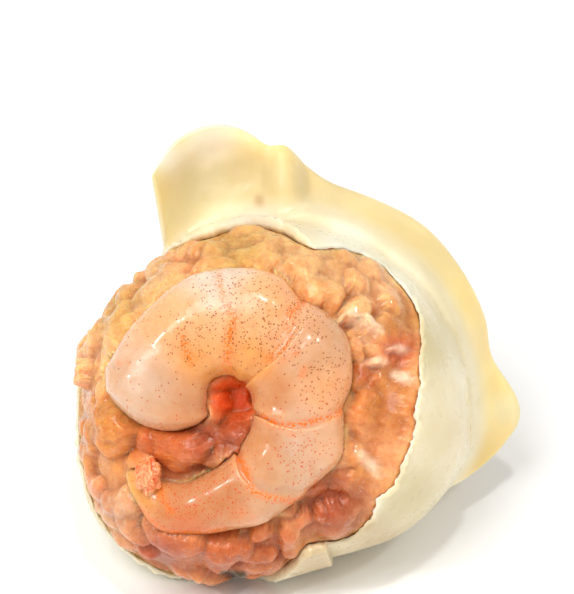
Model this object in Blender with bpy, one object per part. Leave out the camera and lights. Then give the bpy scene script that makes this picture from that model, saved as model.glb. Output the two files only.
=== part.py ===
"""A boiled prawn and chicken dumpling, cut open at the front, in metres with +Z up.

A soft ball of chopped chicken sits in a cup of dough. The dough is pinched into a wavy frill
that stands up behind, and a curled peeled prawn lies in the open face. Every piece is modelled
round the middle of the ball, with the open face looking along -Y, and one empty then leans the
whole dumpling back and stands it on its flattened base.
"""

import math

import bmesh
import bpy
import numpy as np
from mathutils import Matrix, Vector, noise

MM = 0.001

# The soft ball, which sags to one side and rests on a flat spot
BALL_DEPTH = 19.8 * MM
REST_HEIGHT = 16.6 * MM
FLOOR_SOFTNESS = 2.0 * MM
FACE_LEAN = math.radians(38)
BALL_PLACE = Vector((-2.95 * MM, -0.1 * MM, REST_HEIGHT))

# The dough. Spans and edges are degrees round or out from the middle of the opening
SKIN = 1.4 * MM
RIM_ROUNDING = 1.3
RAGGED_RIM = 1.3
LAP_HEIGHT = 0.9 * MM
LAP_EDGE = -70.0
LAP_SPAN = 34.0
LAP_FADE = (125.0, 85.0)
LIP_HEIGHT = 0.6 * MM
LIP_SPAN = (70.0, 122.0)
LIP_WIDTH = math.radians(16)
WRINKLE_HEIGHT = 0.45 * MM
WRINKLE_POLAR = 92.0
WRINKLE_WIDTH = 22.0
FRILL_THICKNESS = 1.4 * MM
FRILL_EDGE_ROUNDING = 0.12
FRILL_EDGE_SHARE = 0.25
FRILL_ROOT_FLARE = 1.6 * MM
FRILL_ROOT_DEPTH = 0.8 * MM
FRILL_END_STATIONS = 3
FRILL_END_BOW = 0.8 * MM
FRILL_END_SHARE = 0.35
FRILL_END_ROUNDING = 1.0

# The chicken
GAP = 0.4 * MM
RIM_MARGIN = 1.0 * MM
RIM_SLOPE = 1.3
LIP_SLOPE = 0.7
FACE_HEIGHT = 13.4 * MM
FACE_CURVE = 9.5
FACE_SOFTNESS = 0.8 * MM
MEAT_INSET = 0.5 * MM
PASTE_DEPTH = 0.5 * MM
CHUNK_SEED = 7
CHUNK_COUNT = 520
CHUNK_HALF_SIZE = (1.3 * MM, 2.1 * MM)
CHUNK_SINK = (0.3, 0.7)
CHUNK_WARP = 0.03
CHUNK_WARP_SIZE = 0.11
POCKET_PLACE = (-3.9 * MM, -0.2 * MM)
POCKET_DEPTH = 5.0 * MM
POCKET_RADIUS = 1.5 * MM

# The prawn
CURL_CENTRE = (-4.3 * MM, -0.2 * MM)
CURL_RADIUS = 8.0 * MM
PRAWN_FLATNESS = 0.80
PRAWN_SQUARENESS = 0.88
PRAWN_LIFT = 0.3 * MM
GROOVE_DEPTH = 0.45 * MM
GROOVE_LEADING = 0.06
GROOVE_TRAILING = 0.86
HEAD_ROUNDING = 14.0
HEAD_BLUNTNESS = 2.6
TAIL_ROUNDING = 10.0
TAIL_BLUNTNESS = 2.2
POINT_SIZE = 0.02 * MM
PRAWN_GAP = 0.3 * MM
TAIL_BIT_PLACE = np.array([-13.2, -12.9, -8.3]) * MM
TAIL_BIT_HALF_SIZE = np.array([1.3, 1.2, 1.9]) * MM
TAIL_BIT_CRUMPLE = 0.35

# Mesh detail
SKIN_COLUMNS = 58
SKIN_RINGS = 15
HIDDEN_RINGS = 12
FRILL_COLUMNS = 54
FRILL_ROWS = 6
BALL_SUBDIVISIONS = 5
FRONT_CROWDING = 0.36
PRAWN_SIDES = 20
HEAD_RINGS = 22
SEGMENT_RINGS = 14

# How wide the ball is, seen into its opening: degrees round from +X, and millimetres out
BALL_WIDTH = (
    (-160, 22.6), (-145, 23.6), (-130, 23.5), (-115, 22.5), (-100, 20.7), (-88, 19.4),
    (-75, 18.8), (-62, 19.3), (-48, 20.6), (-30, 21.7), (-14, 22.4), (0, 21.7), (20, 20.7),
    (45, 20.1), (65, 19.8), (85, 19.6), (105, 19.7), (125, 19.9), (140, 20.1), (155, 21.1),
    (170, 21.9), (185, 21.8),
)

# The opening's torn rim: degrees round the opening from +X, and degrees out from its middle
RIM = (
    (-165, 87), (-150, 84), (-135, 84), (-120, 88), (-108, 92), (-98, 93), (-90, 86), (-84, 72),
    (-78, 61), (-70, 61), (-60, 63), (-52, 57), (-44, 50), (-37, 51), (-27, 48), (-12, 48),
    (6, 50), (18, 56), (30, 65), (44, 69), (57, 69), (68, 63), (75, 59), (82, 65), (88, 72),
    (94, 76), (105, 78), (116, 81), (124, 88), (133, 99), (150, 101), (170, 98), (185, 92),
)

# The frill, from its left end over the top to its right end: degrees round the opening at the
# root and at the free edge, degrees out at the root, then millimetres from the ball's middle
# to the edge, how far the edge stands forward, and how far the sheet bellies forward
FRILL = (
    (130, 118.5, 97, 27.4, 6.4, -1.0),
    (121, 111.0, 99, 29.7, 4.6, -2.2),
    (110, 103.5, 98, 30.5, 2.6, -2.6),
    (100, 97.0, 96, 29.6, 0.8, -2.0),
    (92, 91.5, 93, 27.7, -0.8, -0.6),
    (86, 87.0, 90, 27.5, -0.6, 0.8),
    (80, 81.5, 86, 25.6, -2.8, -0.4),
    (73, 74.0, 83, 24.3, -3.6, 0.2),
    (61, 62.0, 82, 24.4, -4.2, 0.9),
    (47, 48.0, 82, 25.1, -4.6, 0.6),
    (33, 34.0, 84, 25.1, -5.2, 0.2),
    (20, 20.0, 89, 25.0, -5.4, 0.6),
    (9, 9.5, 94, 24.7, -5.4, 0.2),
    (-2, -3.2, 97, 27.6, -6.6, -0.6),
    (-12, -12.0, 98, 26.4, -7.6, -0.4),
    (-21, -21.5, 98, 23.6, -6.4, 0.0),
    (-29, -29.0, 98, 21.8, -4.4, 0.0),
)

# The prawn's middle line: degrees round its curl, millimetres from the curl's middle, and
# millimetres from the line to the back or the belly
PRAWN_LINE = (
    (-150, 13.4, 0.9), (-142, 13.4, 1.1), (-134, 13.3, 1.6), (-126, 13.2, 2.4), (-117, 12.7, 3.2),
    (-104, 11.1, 3.7), (-88, 9.7, 4.1), (-76, 9.1, 4.4), (-62, 8.4, 4.6), (-44, 7.8, 4.8),
    (-28, 7.8, 5.3), (-4, 7.1, 5.0), (10, 7.6, 5.5), (30, 8.1, 6.0), (42, 8.0, 5.9),
    (55, 7.7, 5.6), (70, 8.3, 6.0), (86, 8.4, 5.8), (110, 8.4, 5.6), (130, 8.2, 5.2),
    (150, 8.2, 5.2), (168, 8.4, 5.7), (200, 8.4, 5.7), (230, 8.4, 5.6),
)

# Its segment edges from head to tail, in degrees: how far round the curl at the back and at the
# belly, and how far the middle of the edge bows towards the tail
PRAWN_HEAD = (177, 227, 0)
SEGMENT_EDGES = ((55, 51, 6), (-3, -29, 4), (-48, -84, 9))
PRAWN_TAIL = (-146, -146, 0)

# The largest pieces of chicken: millimetres across and up the open face, half length, half
# width, turn in degrees, and how far the middle stands above the face
MAIN_CHUNKS = (
    (-18.0, -3.6, 3.2, 2.8, 30, 0.4),
    (-11.5, -5.2, 5.4, 2.2, -8, 0.6),
    (-4.6, -3.4, 2.4, 1.8, 40, -0.6),
    (-12.6, 11.6, 4.4, 3.2, 35, 0.2),
    (-17.2, 7.0, 3.4, 2.8, 60, 0.0),
    (11.6, -1.8, 3.6, 3.0, -20, 0.3),
    (12.6, 6.8, 3.0, 2.0, -30, 0.2),
    (5.6, 12.0, 2.8, 2.5, 0, 0.2),
    (-2.2, 15.8, 3.6, 2.2, 10, -0.3),
    (-6.2, -17.0, 3.0, 2.6, 0, 0.2),
    (-11.4, -15.6, 4.0, 2.6, -25, 0.0),
)


def stand():
    """The matrix that leans the dumpling back and stands it on its base."""
    return Matrix.Translation(BALL_PLACE) @ Matrix.Rotation(-FACE_LEAN, 4, "X")


UPRIGHT = np.array(stand().to_3x3())


def curve_through(table, at, period=None):
    """Smooth values at the places asked for, through a table of (place, value, ...) rows."""
    rows = np.array(table, float)
    if period:
        before, after = rows.copy(), rows.copy()
        before[:, 0] -= period
        after[:, 0] += period
        rows = np.concatenate([before, rows, after])
    places, values = rows[:, 0], rows[:, 1:]
    slopes = np.gradient(values, places, axis=0)
    at = np.asarray(at, float)
    i = np.clip(np.searchsorted(places, at) - 1, 0, len(places) - 2)
    span = (places[i + 1] - places[i])[..., None]
    t = (at[..., None] - places[i][..., None]) / span
    from_start = values[i] * (1 + 2 * t) * (1 - t) ** 2 + slopes[i] * span * t * (1 - t) ** 2
    from_end = values[i + 1] * t**2 * (3 - 2 * t) + slopes[i + 1] * span * t**2 * (t - 1)
    return from_start + from_end


def smooth_step(low, high, x):
    t = np.clip((x - low) / (high - low), 0, 1)
    return t * t * (3 - 2 * t)


def soft_least(a, b, softness):
    """The smaller of two values, with the corner between them rounded."""
    share = np.clip(0.5 + 0.5 * (a - b) / softness, 0, 1)
    return a + (b - a) * share - softness * share * (1 - share)


def bumps(points, size, seed=0.0):
    """Smooth noise between about -1 and 1, whose bumps are as wide as size."""
    flat = points.reshape(-1, 3) / size + seed
    return np.array([noise.noise(Vector(p)) for p in flat]).reshape(points.shape[:-1])


def direction(azimuth, polar):
    """Unit vectors from the ball's middle, for angles in radians round and out from the opening."""
    across = np.sin(polar) * np.cos(azimuth)
    up = np.sin(polar) * np.sin(azimuth)
    return np.stack(np.broadcast_arrays(across, -np.cos(polar), up), axis=-1)


def angles_of(directions):
    """Azimuth and polar angle of unit vectors, the inverse of direction()."""
    azimuth = np.arctan2(directions[..., 2], directions[..., 0])
    return azimuth, np.arccos(np.clip(-directions[..., 1], -1, 1))


def ball_reach(directions, inset):
    """How far the ball goes from its middle along each direction, with its surface moved in."""
    azimuth, polar = angles_of(directions)
    width = curve_through(BALL_WIDTH, (np.degrees(azimuth) + 160) % 360 - 160, 360)[..., 0] * MM
    inward = np.cos(polar) / (BALL_DEPTH - inset)
    reach = 1 / np.hypot(np.sin(polar) / (width - inset), inward)
    return soft_least(reach, reach_to_floor(directions, inset), FLOOR_SOFTNESS)


def reach_to_floor(directions, inset=0.0):
    """How far each direction can go before it comes this near to the table."""
    down = np.maximum(-(directions @ UPRIGHT.T)[..., 2], 1e-6)
    return (REST_HEIGHT - inset) / down


def skin_azimuths():
    """Even columns round the opening, with a close pair at the overlap's step."""
    even = np.linspace(-180, 180, SKIN_COLUMNS, endpoint=False)
    edge = np.array([LAP_EDGE - 0.9, LAP_EDGE + 0.9])
    even = even[np.abs(even - LAP_EDGE) > 2.5]
    return np.radians(np.sort(np.concatenate([even, edge])))


def rim_polar(azimuth):
    """How far out the torn rim lies at each azimuth, in radians, straight between columns."""
    columns = skin_azimuths()
    smooth = curve_through(RIM, (np.degrees(columns) + 165) % 360 - 165, 360)[..., 0]
    ring = np.stack([np.cos(columns), np.sin(columns), np.zeros_like(columns)], axis=-1)
    ragged = RAGGED_RIM * (bumps(ring, 0.16) + 0.5 * bumps(ring, 0.06))
    return np.interp(azimuth, columns, np.radians(smooth + ragged), period=2 * math.pi)


def inside_rim(azimuth, polar):
    """Angle to the nearest part of the torn rim, positive inside the opening."""
    step = math.radians(2)
    slope = (rim_polar(azimuth + step) - rim_polar(azimuth - step)) / (2 * step)
    slope = slope / np.maximum(np.sin(polar), 0.2)
    return (rim_polar(azimuth) - polar) / np.sqrt(1 + slope**2)


def lap(azimuth, polar):
    """Height of the overlap low on the front, where the dough goes round twice."""
    turn = np.degrees(azimuth)
    rise = smooth_step(LAP_EDGE + 0.8, LAP_EDGE - 0.8, turn)
    rise = rise * smooth_step(LAP_EDGE - LAP_SPAN, LAP_EDGE - 0.5 * LAP_SPAN, turn)
    return LAP_HEIGHT * rise * smooth_step(*LAP_FADE, np.degrees(polar))


def along_lip(azimuth):
    """1 along the torn edge that stands up over the chicken at the top, and 0 elsewhere."""
    turn = np.degrees(azimuth)
    start = smooth_step(LIP_SPAN[0], LIP_SPAN[0] + 14, turn)
    return start * smooth_step(LIP_SPAN[1], LIP_SPAN[1] - 8, turn)


def lip(azimuth, polar):
    """Height of that torn edge above the ball."""
    near_rim = smooth_step(LIP_WIDTH, 0, polar - rim_polar(azimuth))
    return LIP_HEIGHT * along_lip(azimuth) * near_rim


def skin_wrinkles(directions, azimuth, polar):
    """Shallow creases that run from the frill down the shoulder of the dough."""
    turn = np.degrees(azimuth)
    near_frill = np.exp(-(((np.degrees(polar) - WRINKLE_POLAR) / WRINKLE_WIDTH) ** 2))
    shoulder = smooth_step(-35, -5, turn) * smooth_step(135, 100, turn)
    stretched = directions * np.array([1.0, 0.45, 1.0])
    return WRINKLE_HEIGHT * near_frill * shoulder * bumps(stretched, 0.13, seed=3.0)


def add_rings(mesh, rings):
    """Puts rings of points into a bmesh and joins each ring to the next."""
    rows = [[mesh.verts.new(point) for point in ring] for ring in rings]
    for near, far in zip(rows, rows[1:]):
        for i in range(len(near)):
            j = (i + 1) % len(near)
            mesh.faces.new((near[i], near[j], far[j], far[i]))
    return rows


def add_fan(mesh, ring, tip):
    """Closes a ring of vertices with triangles to one point."""
    point = mesh.verts.new(tip)
    for i, vertex in enumerate(ring):
        mesh.faces.new((vertex, ring[(i + 1) % len(ring)], point))


def make_object(name, mesh, finish):
    """Turns a bmesh into a named object with outward faces."""
    bmesh.ops.triangulate(mesh, faces=mesh.faces, quad_method="SHORT_EDGE")
    bmesh.ops.recalc_face_normals(mesh, faces=mesh.faces)
    data = bpy.data.meshes.new(name)
    mesh.to_mesh(data)
    mesh.free()
    data.shade_smooth()
    data.materials.append(finish)
    made = bpy.data.objects.new(name, data)
    bpy.context.scene.collection.objects.link(made)
    return made


def material(name, colour, roughness):
    made = bpy.data.materials.new(name)
    made.use_nodes = True
    shader = made.node_tree.nodes["Principled BSDF"]
    shader.inputs["Base Color"].default_value = (*colour, 1)
    shader.inputs["Roughness"].default_value = roughness
    shader.inputs["Metallic"].default_value = 0
    return made


def make_cup(finish):
    """The cup of dough: an outer and an inner sheet, joined round the torn rim."""
    azimuth = skin_azimuths()
    rim = rim_polar(azimuth)
    rounding = math.radians(RIM_ROUNDING)
    mesh = bmesh.new()

    def ring(share, inside):
        polar = rim + rounding + (math.pi - rim - rounding) * share
        directions = direction(azimuth, polar)
        reach = ball_reach(directions, SKIN if inside else 0.0) + lip(azimuth, polar)
        if not inside:
            reach = reach + lap(azimuth, polar) + skin_wrinkles(directions, azimuth, polar)
            reach = np.minimum(reach, reach_to_floor(directions))
        return directions * reach[:, None]

    shares = np.linspace(0, 1, SKIN_RINGS, endpoint=False) ** 1.1
    inner_shares = np.linspace(0, 1, HIDDEN_RINGS, endpoint=False)
    edge_directions = direction(azimuth, rim)
    edge_reach = ball_reach(edge_directions, 0.5 * SKIN) + 0.5 * lap(azimuth, rim)
    edge = edge_directions * (edge_reach + lip(azimuth, rim))[:, None]
    inner = [ring(share, inside=True) for share in inner_shares[::-1]]
    outer = [ring(share, inside=False) for share in shares]
    rows = add_rings(mesh, [*inner, edge, *outer])
    back = np.array([[0.0, 1.0, 0.0]])
    add_fan(mesh, rows[0], back[0] * ball_reach(back, SKIN)[0])
    add_fan(mesh, rows[-1], back[0] * ball_reach(back, 0.0)[0])
    return make_object("wrapper", mesh, finish)


def frill_sheet(columns, rows):
    """Mid surface of the frill as a grid of points, and each row's share of the way out."""
    place = np.arange(len(FRILL))
    table = np.column_stack([place, FRILL])
    at = np.linspace(0, len(FRILL) - 1, columns)
    root_turn, edge_turn, root_polar, edge_reach, edge_out, belly = curve_through(table, at).T
    root = direction(np.radians(root_turn), np.radians(root_polar))
    root = root * ball_reach(root, FRILL_ROOT_DEPTH)[:, None]
    turn = np.radians(edge_turn)
    edge = np.stack([edge_reach * np.cos(turn), -edge_out, edge_reach * np.sin(turn)], axis=-1) * MM
    share = np.linspace(0, 1, rows) ** 0.9
    across = share[None, :, None]
    sheet = root[:, None] * (1 - across) + edge[:, None] * across
    swell = np.sin(math.pi * share**1.3)[None, :] * belly[:, None] * MM
    sheet[..., 1] -= swell
    bow = FRILL_END_BOW * np.clip(1 - at / FRILL_END_STATIONS, 0, 1) ** 2
    sheet[..., 0] += bow[:, None] * np.sin(math.pi * share)
    return sheet, share


def make_frill(finish):
    """The pinched frill: a wavy sheet, thick at its root and thin at its free edge."""
    sheet, share = frill_sheet(FRILL_COLUMNS, FRILL_ROWS)
    along = np.gradient(sheet, axis=0)
    across = np.gradient(sheet, axis=1)
    normal = np.cross(along, across)
    normal /= np.linalg.norm(normal, axis=-1, keepdims=True)
    rounded = np.sqrt(np.clip((1 - share) / FRILL_EDGE_ROUNDING, 0, 1))
    half = 0.5 * FRILL_THICKNESS * np.maximum(rounded, FRILL_EDGE_SHARE)
    last = len(FRILL) - 1
    place = np.linspace(0, last, FRILL_COLUMNS)
    to_end = np.minimum(place, last - place)[:, None]
    from_end = np.clip(to_end / FRILL_END_STATIONS, 0, 1)
    end_size = np.sqrt(np.clip(to_end / FRILL_END_ROUNDING, 0, 1))
    half = half * np.maximum(end_size, FRILL_END_SHARE)
    outward = sheet[:, :1] / np.linalg.norm(sheet[:, :1], axis=-1, keepdims=True)
    lean = np.clip(0.5 + (normal[:, :1] * outward).sum(axis=-1), 0, 1)
    flare = FRILL_ROOT_FLARE * from_end * (1 - share) ** 3
    front = sheet + normal * (half + flare * lean)[..., None]
    back = sheet - normal * (half + flare * (1 - lean))[..., None]
    mesh = bmesh.new()
    loops = np.concatenate([front, back[:, ::-1]], axis=1)
    rows = add_rings(mesh, loops)
    mesh.faces.new(rows[0])
    mesh.faces.new(rows[-1])
    return make_object("frill", mesh, finish)


def face_reach(directions):
    """Where each direction meets the gently domed cut through the chicken."""
    out = np.maximum(-directions[..., 1], 1e-3)
    side = np.maximum(1 - out**2, 1e-9) * FACE_CURVE
    return (np.sqrt(out**2 + 4 * side * FACE_HEIGHT) - out) / (2 * side)


def open_reach(directions):
    """The chicken's open surface before its pieces: the ball, cut back to the domed face."""
    ball = ball_reach(directions, MEAT_INSET)
    face = np.where(directions[..., 1] < -0.05, face_reach(directions), 1.0)
    return soft_least(ball, face, FACE_SOFTNESS)


def on_open_surface(across, up):
    """The point of the open surface that lies this far across and up the face."""
    out = FACE_HEIGHT
    for _ in range(12):
        point = np.array([across, -out, up])
        reach = open_reach((point / np.linalg.norm(point))[None])[0]
        out = math.sqrt(max(reach**2 - across**2 - up**2, (0.5 * MM) ** 2))
    return np.array([across, -out, up])


def meat_chunks():
    """Middle and shaping matrix of each chopped piece that shows, the largest ones first."""
    found = []
    for across, up, length, width, turn, lift in MAIN_CHUNKS:
        middle = on_open_surface(across * MM, up * MM)
        outward = middle / np.linalg.norm(middle)
        middle = middle + outward * (lift - 0.55 * width) * MM
        sizes = np.array([length, width, 0.8 * width]) * MM
        found.append((middle, chunk_matrix(outward, math.radians(turn), sizes)))
    draw = np.random.RandomState(CHUNK_SEED)
    golden = math.pi * (3 - math.sqrt(5))
    for i in range(CHUNK_COUNT):
        out = 1 - 2 * (i + 0.5) / CHUNK_COUNT
        azimuth = np.array([golden * i + draw.uniform(-0.2, 0.2)])
        outward = direction(azimuth, np.arccos(np.clip(out, -1, 1)))[0]
        size = draw.uniform(*CHUNK_HALF_SIZE)
        sizes = size * np.array([draw.uniform(1.0, 1.4), draw.uniform(0.8, 1.0), 0.9])
        turn = draw.uniform(0, math.pi)
        sink = draw.uniform(*CHUNK_SINK) * size
        azimuth, polar = angles_of(outward[None])
        if polar[0] > rim_polar(azimuth)[0]:
            continue
        middle = outward * (open_reach(outward[None])[0] - sink)
        found.append((middle, chunk_matrix(outward, turn, sizes)))
    return found


def chunk_matrix(outward, turn, sizes):
    """Takes offsets from a piece's middle to offsets in units of its half sizes."""
    side = np.cross([0.0, 0.0, 1.0], outward)
    side = side / np.linalg.norm(side)
    rise = np.cross(outward, side)
    first = math.cos(turn) * side + math.sin(turn) * rise
    second = math.cos(turn) * rise - math.sin(turn) * side
    return np.stack([first, second, outward]) / sizes[:, None]


def chunk_reaches(directions, chunks):
    """How far each direction goes to leave each piece, or 0 where it misses the piece."""
    reaches = np.zeros((len(directions), len(chunks)))
    for i, (middle, shape) in enumerate(chunks):
        ray = directions @ shape.T
        start = shape @ middle
        a = (ray**2).sum(axis=-1)
        b = ray @ start
        inside = b**2 - a * (start @ start - 1)
        reaches[:, i] = np.where(inside > 0, (b + np.sqrt(np.maximum(inside, 0))) / a, 0)
    return reaches


def pocket(points):
    """Depth of the hollow in the chicken that shows through the middle of the curl."""
    away = np.hypot(points[:, 0] - POCKET_PLACE[0], points[:, 2] - POCKET_PLACE[1])
    front = smooth_step(2 * MM, 6 * MM, -points[:, 1])
    return POCKET_DEPTH * front * np.exp(-0.5 * (away / POCKET_RADIUS) ** 2)


def meat_reach(directions, chunks):
    """The chicken's surface: chopped pieces in the opening, and a plain ball under the dough."""
    warp = [bumps(directions, CHUNK_WARP_SIZE, seed) for seed in (11.0, 23.0, 37.0)]
    warped = directions + CHUNK_WARP * np.stack(warp, axis=-1)
    warped /= np.linalg.norm(warped, axis=-1, keepdims=True)
    paste = open_reach(directions) - PASTE_DEPTH
    shown = np.maximum(paste, chunk_reaches(warped, chunks).max(axis=1))
    shown = shown - pocket(directions * shown[:, None])
    azimuth, polar = angles_of(directions)
    inner = ball_reach(directions, SKIN + GAP)
    inside = inside_rim(azimuth, polar) * inner
    joined = inner + (shown - inner) * smooth_step(-2 * MM, 1 * MM, inside)
    slope = RIM_SLOPE + (LIP_SLOPE - RIM_SLOPE) * along_lip(azimuth)
    most = inner + slope * np.maximum(inside - RIM_MARGIN, 0)
    return np.minimum(joined, most)


def make_meat(finish):
    """The ball of chopped chicken, from an icosphere with its points crowded to the front."""
    mesh = bmesh.new()
    bmesh.ops.create_icosphere(mesh, subdivisions=BALL_SUBDIVISIONS, radius=1)
    directions = np.array([vertex.co for vertex in mesh.verts])
    azimuth, polar = angles_of(directions)
    directions = direction(azimuth, polar - FRONT_CROWDING * np.sin(polar))
    reach = meat_reach(directions, meat_chunks())
    for vertex, point in zip(mesh.verts, directions * reach[:, None]):
        vertex.co = point
    return make_object("chicken_filling", mesh, finish)


def prawn_stations(stretch):
    """Where the rings go: degrees round the curl at the back and at the belly, how far the
    middle bows, how far the surface stands above the groove, and the ring's share of its size."""
    head = (PRAWN_HEAD[0] + stretch, PRAWN_HEAD[1] + stretch, 0)
    tail = (PRAWN_TAIL[0] - stretch, PRAWN_TAIL[1] - stretch, 0)
    edges = [head, *SEGMENT_EDGES, tail]
    stations = []
    for number, (start, end) in enumerate(zip(edges, edges[1:])):
        count = HEAD_RINGS if number == 0 else SEGMENT_RINGS
        shares = 0.5 - 0.5 * np.cos(np.pi * np.linspace(0, 1, count, endpoint=False))
        for share in shares:
            back = start[0] + (end[0] - start[0]) * share
            belly = start[1] + (end[1] - start[1]) * share
            bow = start[2] + (end[2] - start[2]) * share
            size = rounded_end((head[0] - back) / HEAD_ROUNDING, HEAD_BLUNTNESS)
            size *= rounded_end((back - tail[0]) / TAIL_ROUNDING, TAIL_BLUNTNESS)
            stations.append((back, belly, bow, segment_swell(number, share), size))
    stations.append((*tail, 0.0, 0.0))
    return stations


def rounded_end(distance, bluntness):
    """Size of a cross section this far from a rounded end, from 0 to 1."""
    return (1 - (1 - min(max(distance, 0), 1)) ** bluntness) ** 0.5


def segment_swell(number, share):
    """How far a segment's surface stands above the groove, along its length."""
    leading = 1.0 if number == 0 else smooth_step(0, GROOVE_LEADING, share)
    trailing = 1.0 if number == len(SEGMENT_EDGES) else smooth_step(1, GROOVE_TRAILING, share)
    return leading * trailing


def prawn_ring(back, belly, bow, swell, size, extra):
    """One ring of points round the prawn, with its surface moved out by extra."""
    around = np.linspace(0, 2 * math.pi, PRAWN_SIDES, endpoint=False)
    backward = squared(np.cos(around))
    middle = 0.5 * (back + belly)
    turn = middle + (0.5 * (back - belly) * backward - bow * (1 - backward**2)) * size
    radius, half = curve_through(PRAWN_LINE, turn).T * MM
    groove = GROOVE_DEPTH * (1 - swell) * (0.35 + 0.65 * np.abs(np.sin(0.5 * around)))
    half = np.maximum((half - groove) * size, POINT_SIZE) + extra
    radius = radius + half * backward
    across = CURL_CENTRE[0] + radius * np.cos(np.radians(turn))
    up = CURL_CENTRE[1] + radius * np.sin(np.radians(turn))
    centre = curve_through(PRAWN_LINE, middle)[0] * MM
    off_x = CURL_CENTRE[0] + centre * math.cos(math.radians(middle))
    off_z = CURL_CENTRE[1] + centre * math.sin(math.radians(middle))
    lie = FACE_HEIGHT + PRAWN_LIFT - FACE_CURVE * (off_x**2 + off_z**2)
    out = lie + half * PRAWN_FLATNESS * squared(np.sin(around))
    return np.stack([across, -out, up], axis=-1)


def squared(wave):
    """Makes a round cross section slightly squarer."""
    return np.sign(wave) * np.abs(wave) ** PRAWN_SQUARENESS


def make_prawn(name, finish, extra=0.0):
    """The curled prawn: rings of points from its cut front end to its tail."""
    stations = prawn_stations(1.5 * math.degrees(extra / CURL_RADIUS))
    rings = [prawn_ring(*station, extra) for station in stations]
    mesh = bmesh.new()
    rows = add_rings(mesh, rings)
    add_fan(mesh, rows[0], rings[0].mean(axis=0))
    add_fan(mesh, rows[-1], rings[-1].mean(axis=0))
    prawn = make_object(name, mesh, finish)
    apply_boolean(prawn, make_tail_bit(finish, extra), "UNION")
    return prawn


def make_tail_bit(finish, extra):
    """The crumpled end of the shell that is left on the prawn's tail."""
    mesh = bmesh.new()
    bmesh.ops.create_icosphere(mesh, subdivisions=2, radius=1)
    directions = np.array([vertex.co for vertex in mesh.verts])
    crumple = 1 + TAIL_BIT_CRUMPLE * bumps(directions, 0.6, seed=5.0)
    points = directions * (TAIL_BIT_HALF_SIZE * crumple[:, None] + extra) + TAIL_BIT_PLACE
    for vertex, point in zip(mesh.verts, points):
        vertex.co = point
    return make_object("tail_bit", mesh, finish)


def apply_boolean(target, other, operation):
    """Joins or cuts target with other, then deletes other."""
    modifier = target.modifiers.new(operation.lower(), "BOOLEAN")
    modifier.operation = operation
    modifier.object = other
    modifier.solver = "EXACT"
    graph = bpy.context.evaluated_depsgraph_get()
    result = bpy.data.meshes.new_from_object(target.evaluated_get(graph))
    target.modifiers.clear()
    target.data = result
    bpy.data.objects.remove(other)


def main():
    for leftover in list(bpy.data.objects):
        bpy.data.objects.remove(leftover)
    dough = material("dough", (0.90, 0.84, 0.62), 0.35)
    chicken = material("chicken", (0.80, 0.45, 0.25), 0.30)
    flesh = material("prawn_flesh", (0.93, 0.62, 0.42), 0.25)

    wrapper = make_cup(dough)
    apply_boolean(wrapper, make_frill(dough), "UNION")
    filling = make_meat(chicken)
    apply_boolean(filling, make_prawn("prawn_cutter", flesh, PRAWN_GAP), "DIFFERENCE")
    prawn = make_prawn("prawn", flesh)

    dumpling = bpy.data.objects.new("dumpling", None)
    bpy.context.scene.collection.objects.link(dumpling)
    dumpling.matrix_world = stand()
    for piece in (wrapper, filling, prawn):
        piece.parent = dumpling


main()
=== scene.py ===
"""The looks of the boiled prawn and chicken dumpling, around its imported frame.

Every piece is modelled round the middle of the ball with the open face looking along -Y, as the
solids are, and stand_up() then leans it back on its base. Tints are worked out point by point
in that frame, and the fine grain, specks and gloss come from each material's nodes.
"""

import itertools
import math

import bmesh
import bpy
import numpy as np
from mathutils import Matrix, Vector, noise
from mathutils.bvhtree import BVHTree
from mathutils.kdtree import KDTree

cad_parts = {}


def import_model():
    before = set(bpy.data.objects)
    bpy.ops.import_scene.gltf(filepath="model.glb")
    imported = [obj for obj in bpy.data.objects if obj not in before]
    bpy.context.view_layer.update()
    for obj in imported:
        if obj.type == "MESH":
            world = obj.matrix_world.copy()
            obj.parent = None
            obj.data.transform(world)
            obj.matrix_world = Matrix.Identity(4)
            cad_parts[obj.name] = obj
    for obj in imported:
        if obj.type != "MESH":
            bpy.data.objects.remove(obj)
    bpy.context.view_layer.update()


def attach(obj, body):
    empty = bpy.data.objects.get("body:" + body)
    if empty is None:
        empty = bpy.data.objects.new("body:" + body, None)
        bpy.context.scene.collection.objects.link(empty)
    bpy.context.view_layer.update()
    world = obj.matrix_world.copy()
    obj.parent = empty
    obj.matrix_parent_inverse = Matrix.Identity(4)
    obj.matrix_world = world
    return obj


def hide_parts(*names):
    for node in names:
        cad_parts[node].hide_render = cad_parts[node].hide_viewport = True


MM = 0.001

# The soft ball, which sags to one side and rests on a flat spot
BALL_DEPTH = 19.8 * MM
REST_HEIGHT = 16.6 * MM
FLOOR_SOFTNESS = 2.0 * MM
FACE_LEAN = math.radians(38)
BALL_PLACE = Vector((-2.95 * MM, -0.1 * MM, REST_HEIGHT))
STANDING = Matrix.Translation(BALL_PLACE) @ Matrix.Rotation(-FACE_LEAN, 4, "X")
UPRIGHT = np.array(STANDING.to_3x3())
STANDING_PLACE = np.array(STANDING.translation)
BACK_POLE = np.array([[0.0, 1.0, 0.0]])

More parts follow.
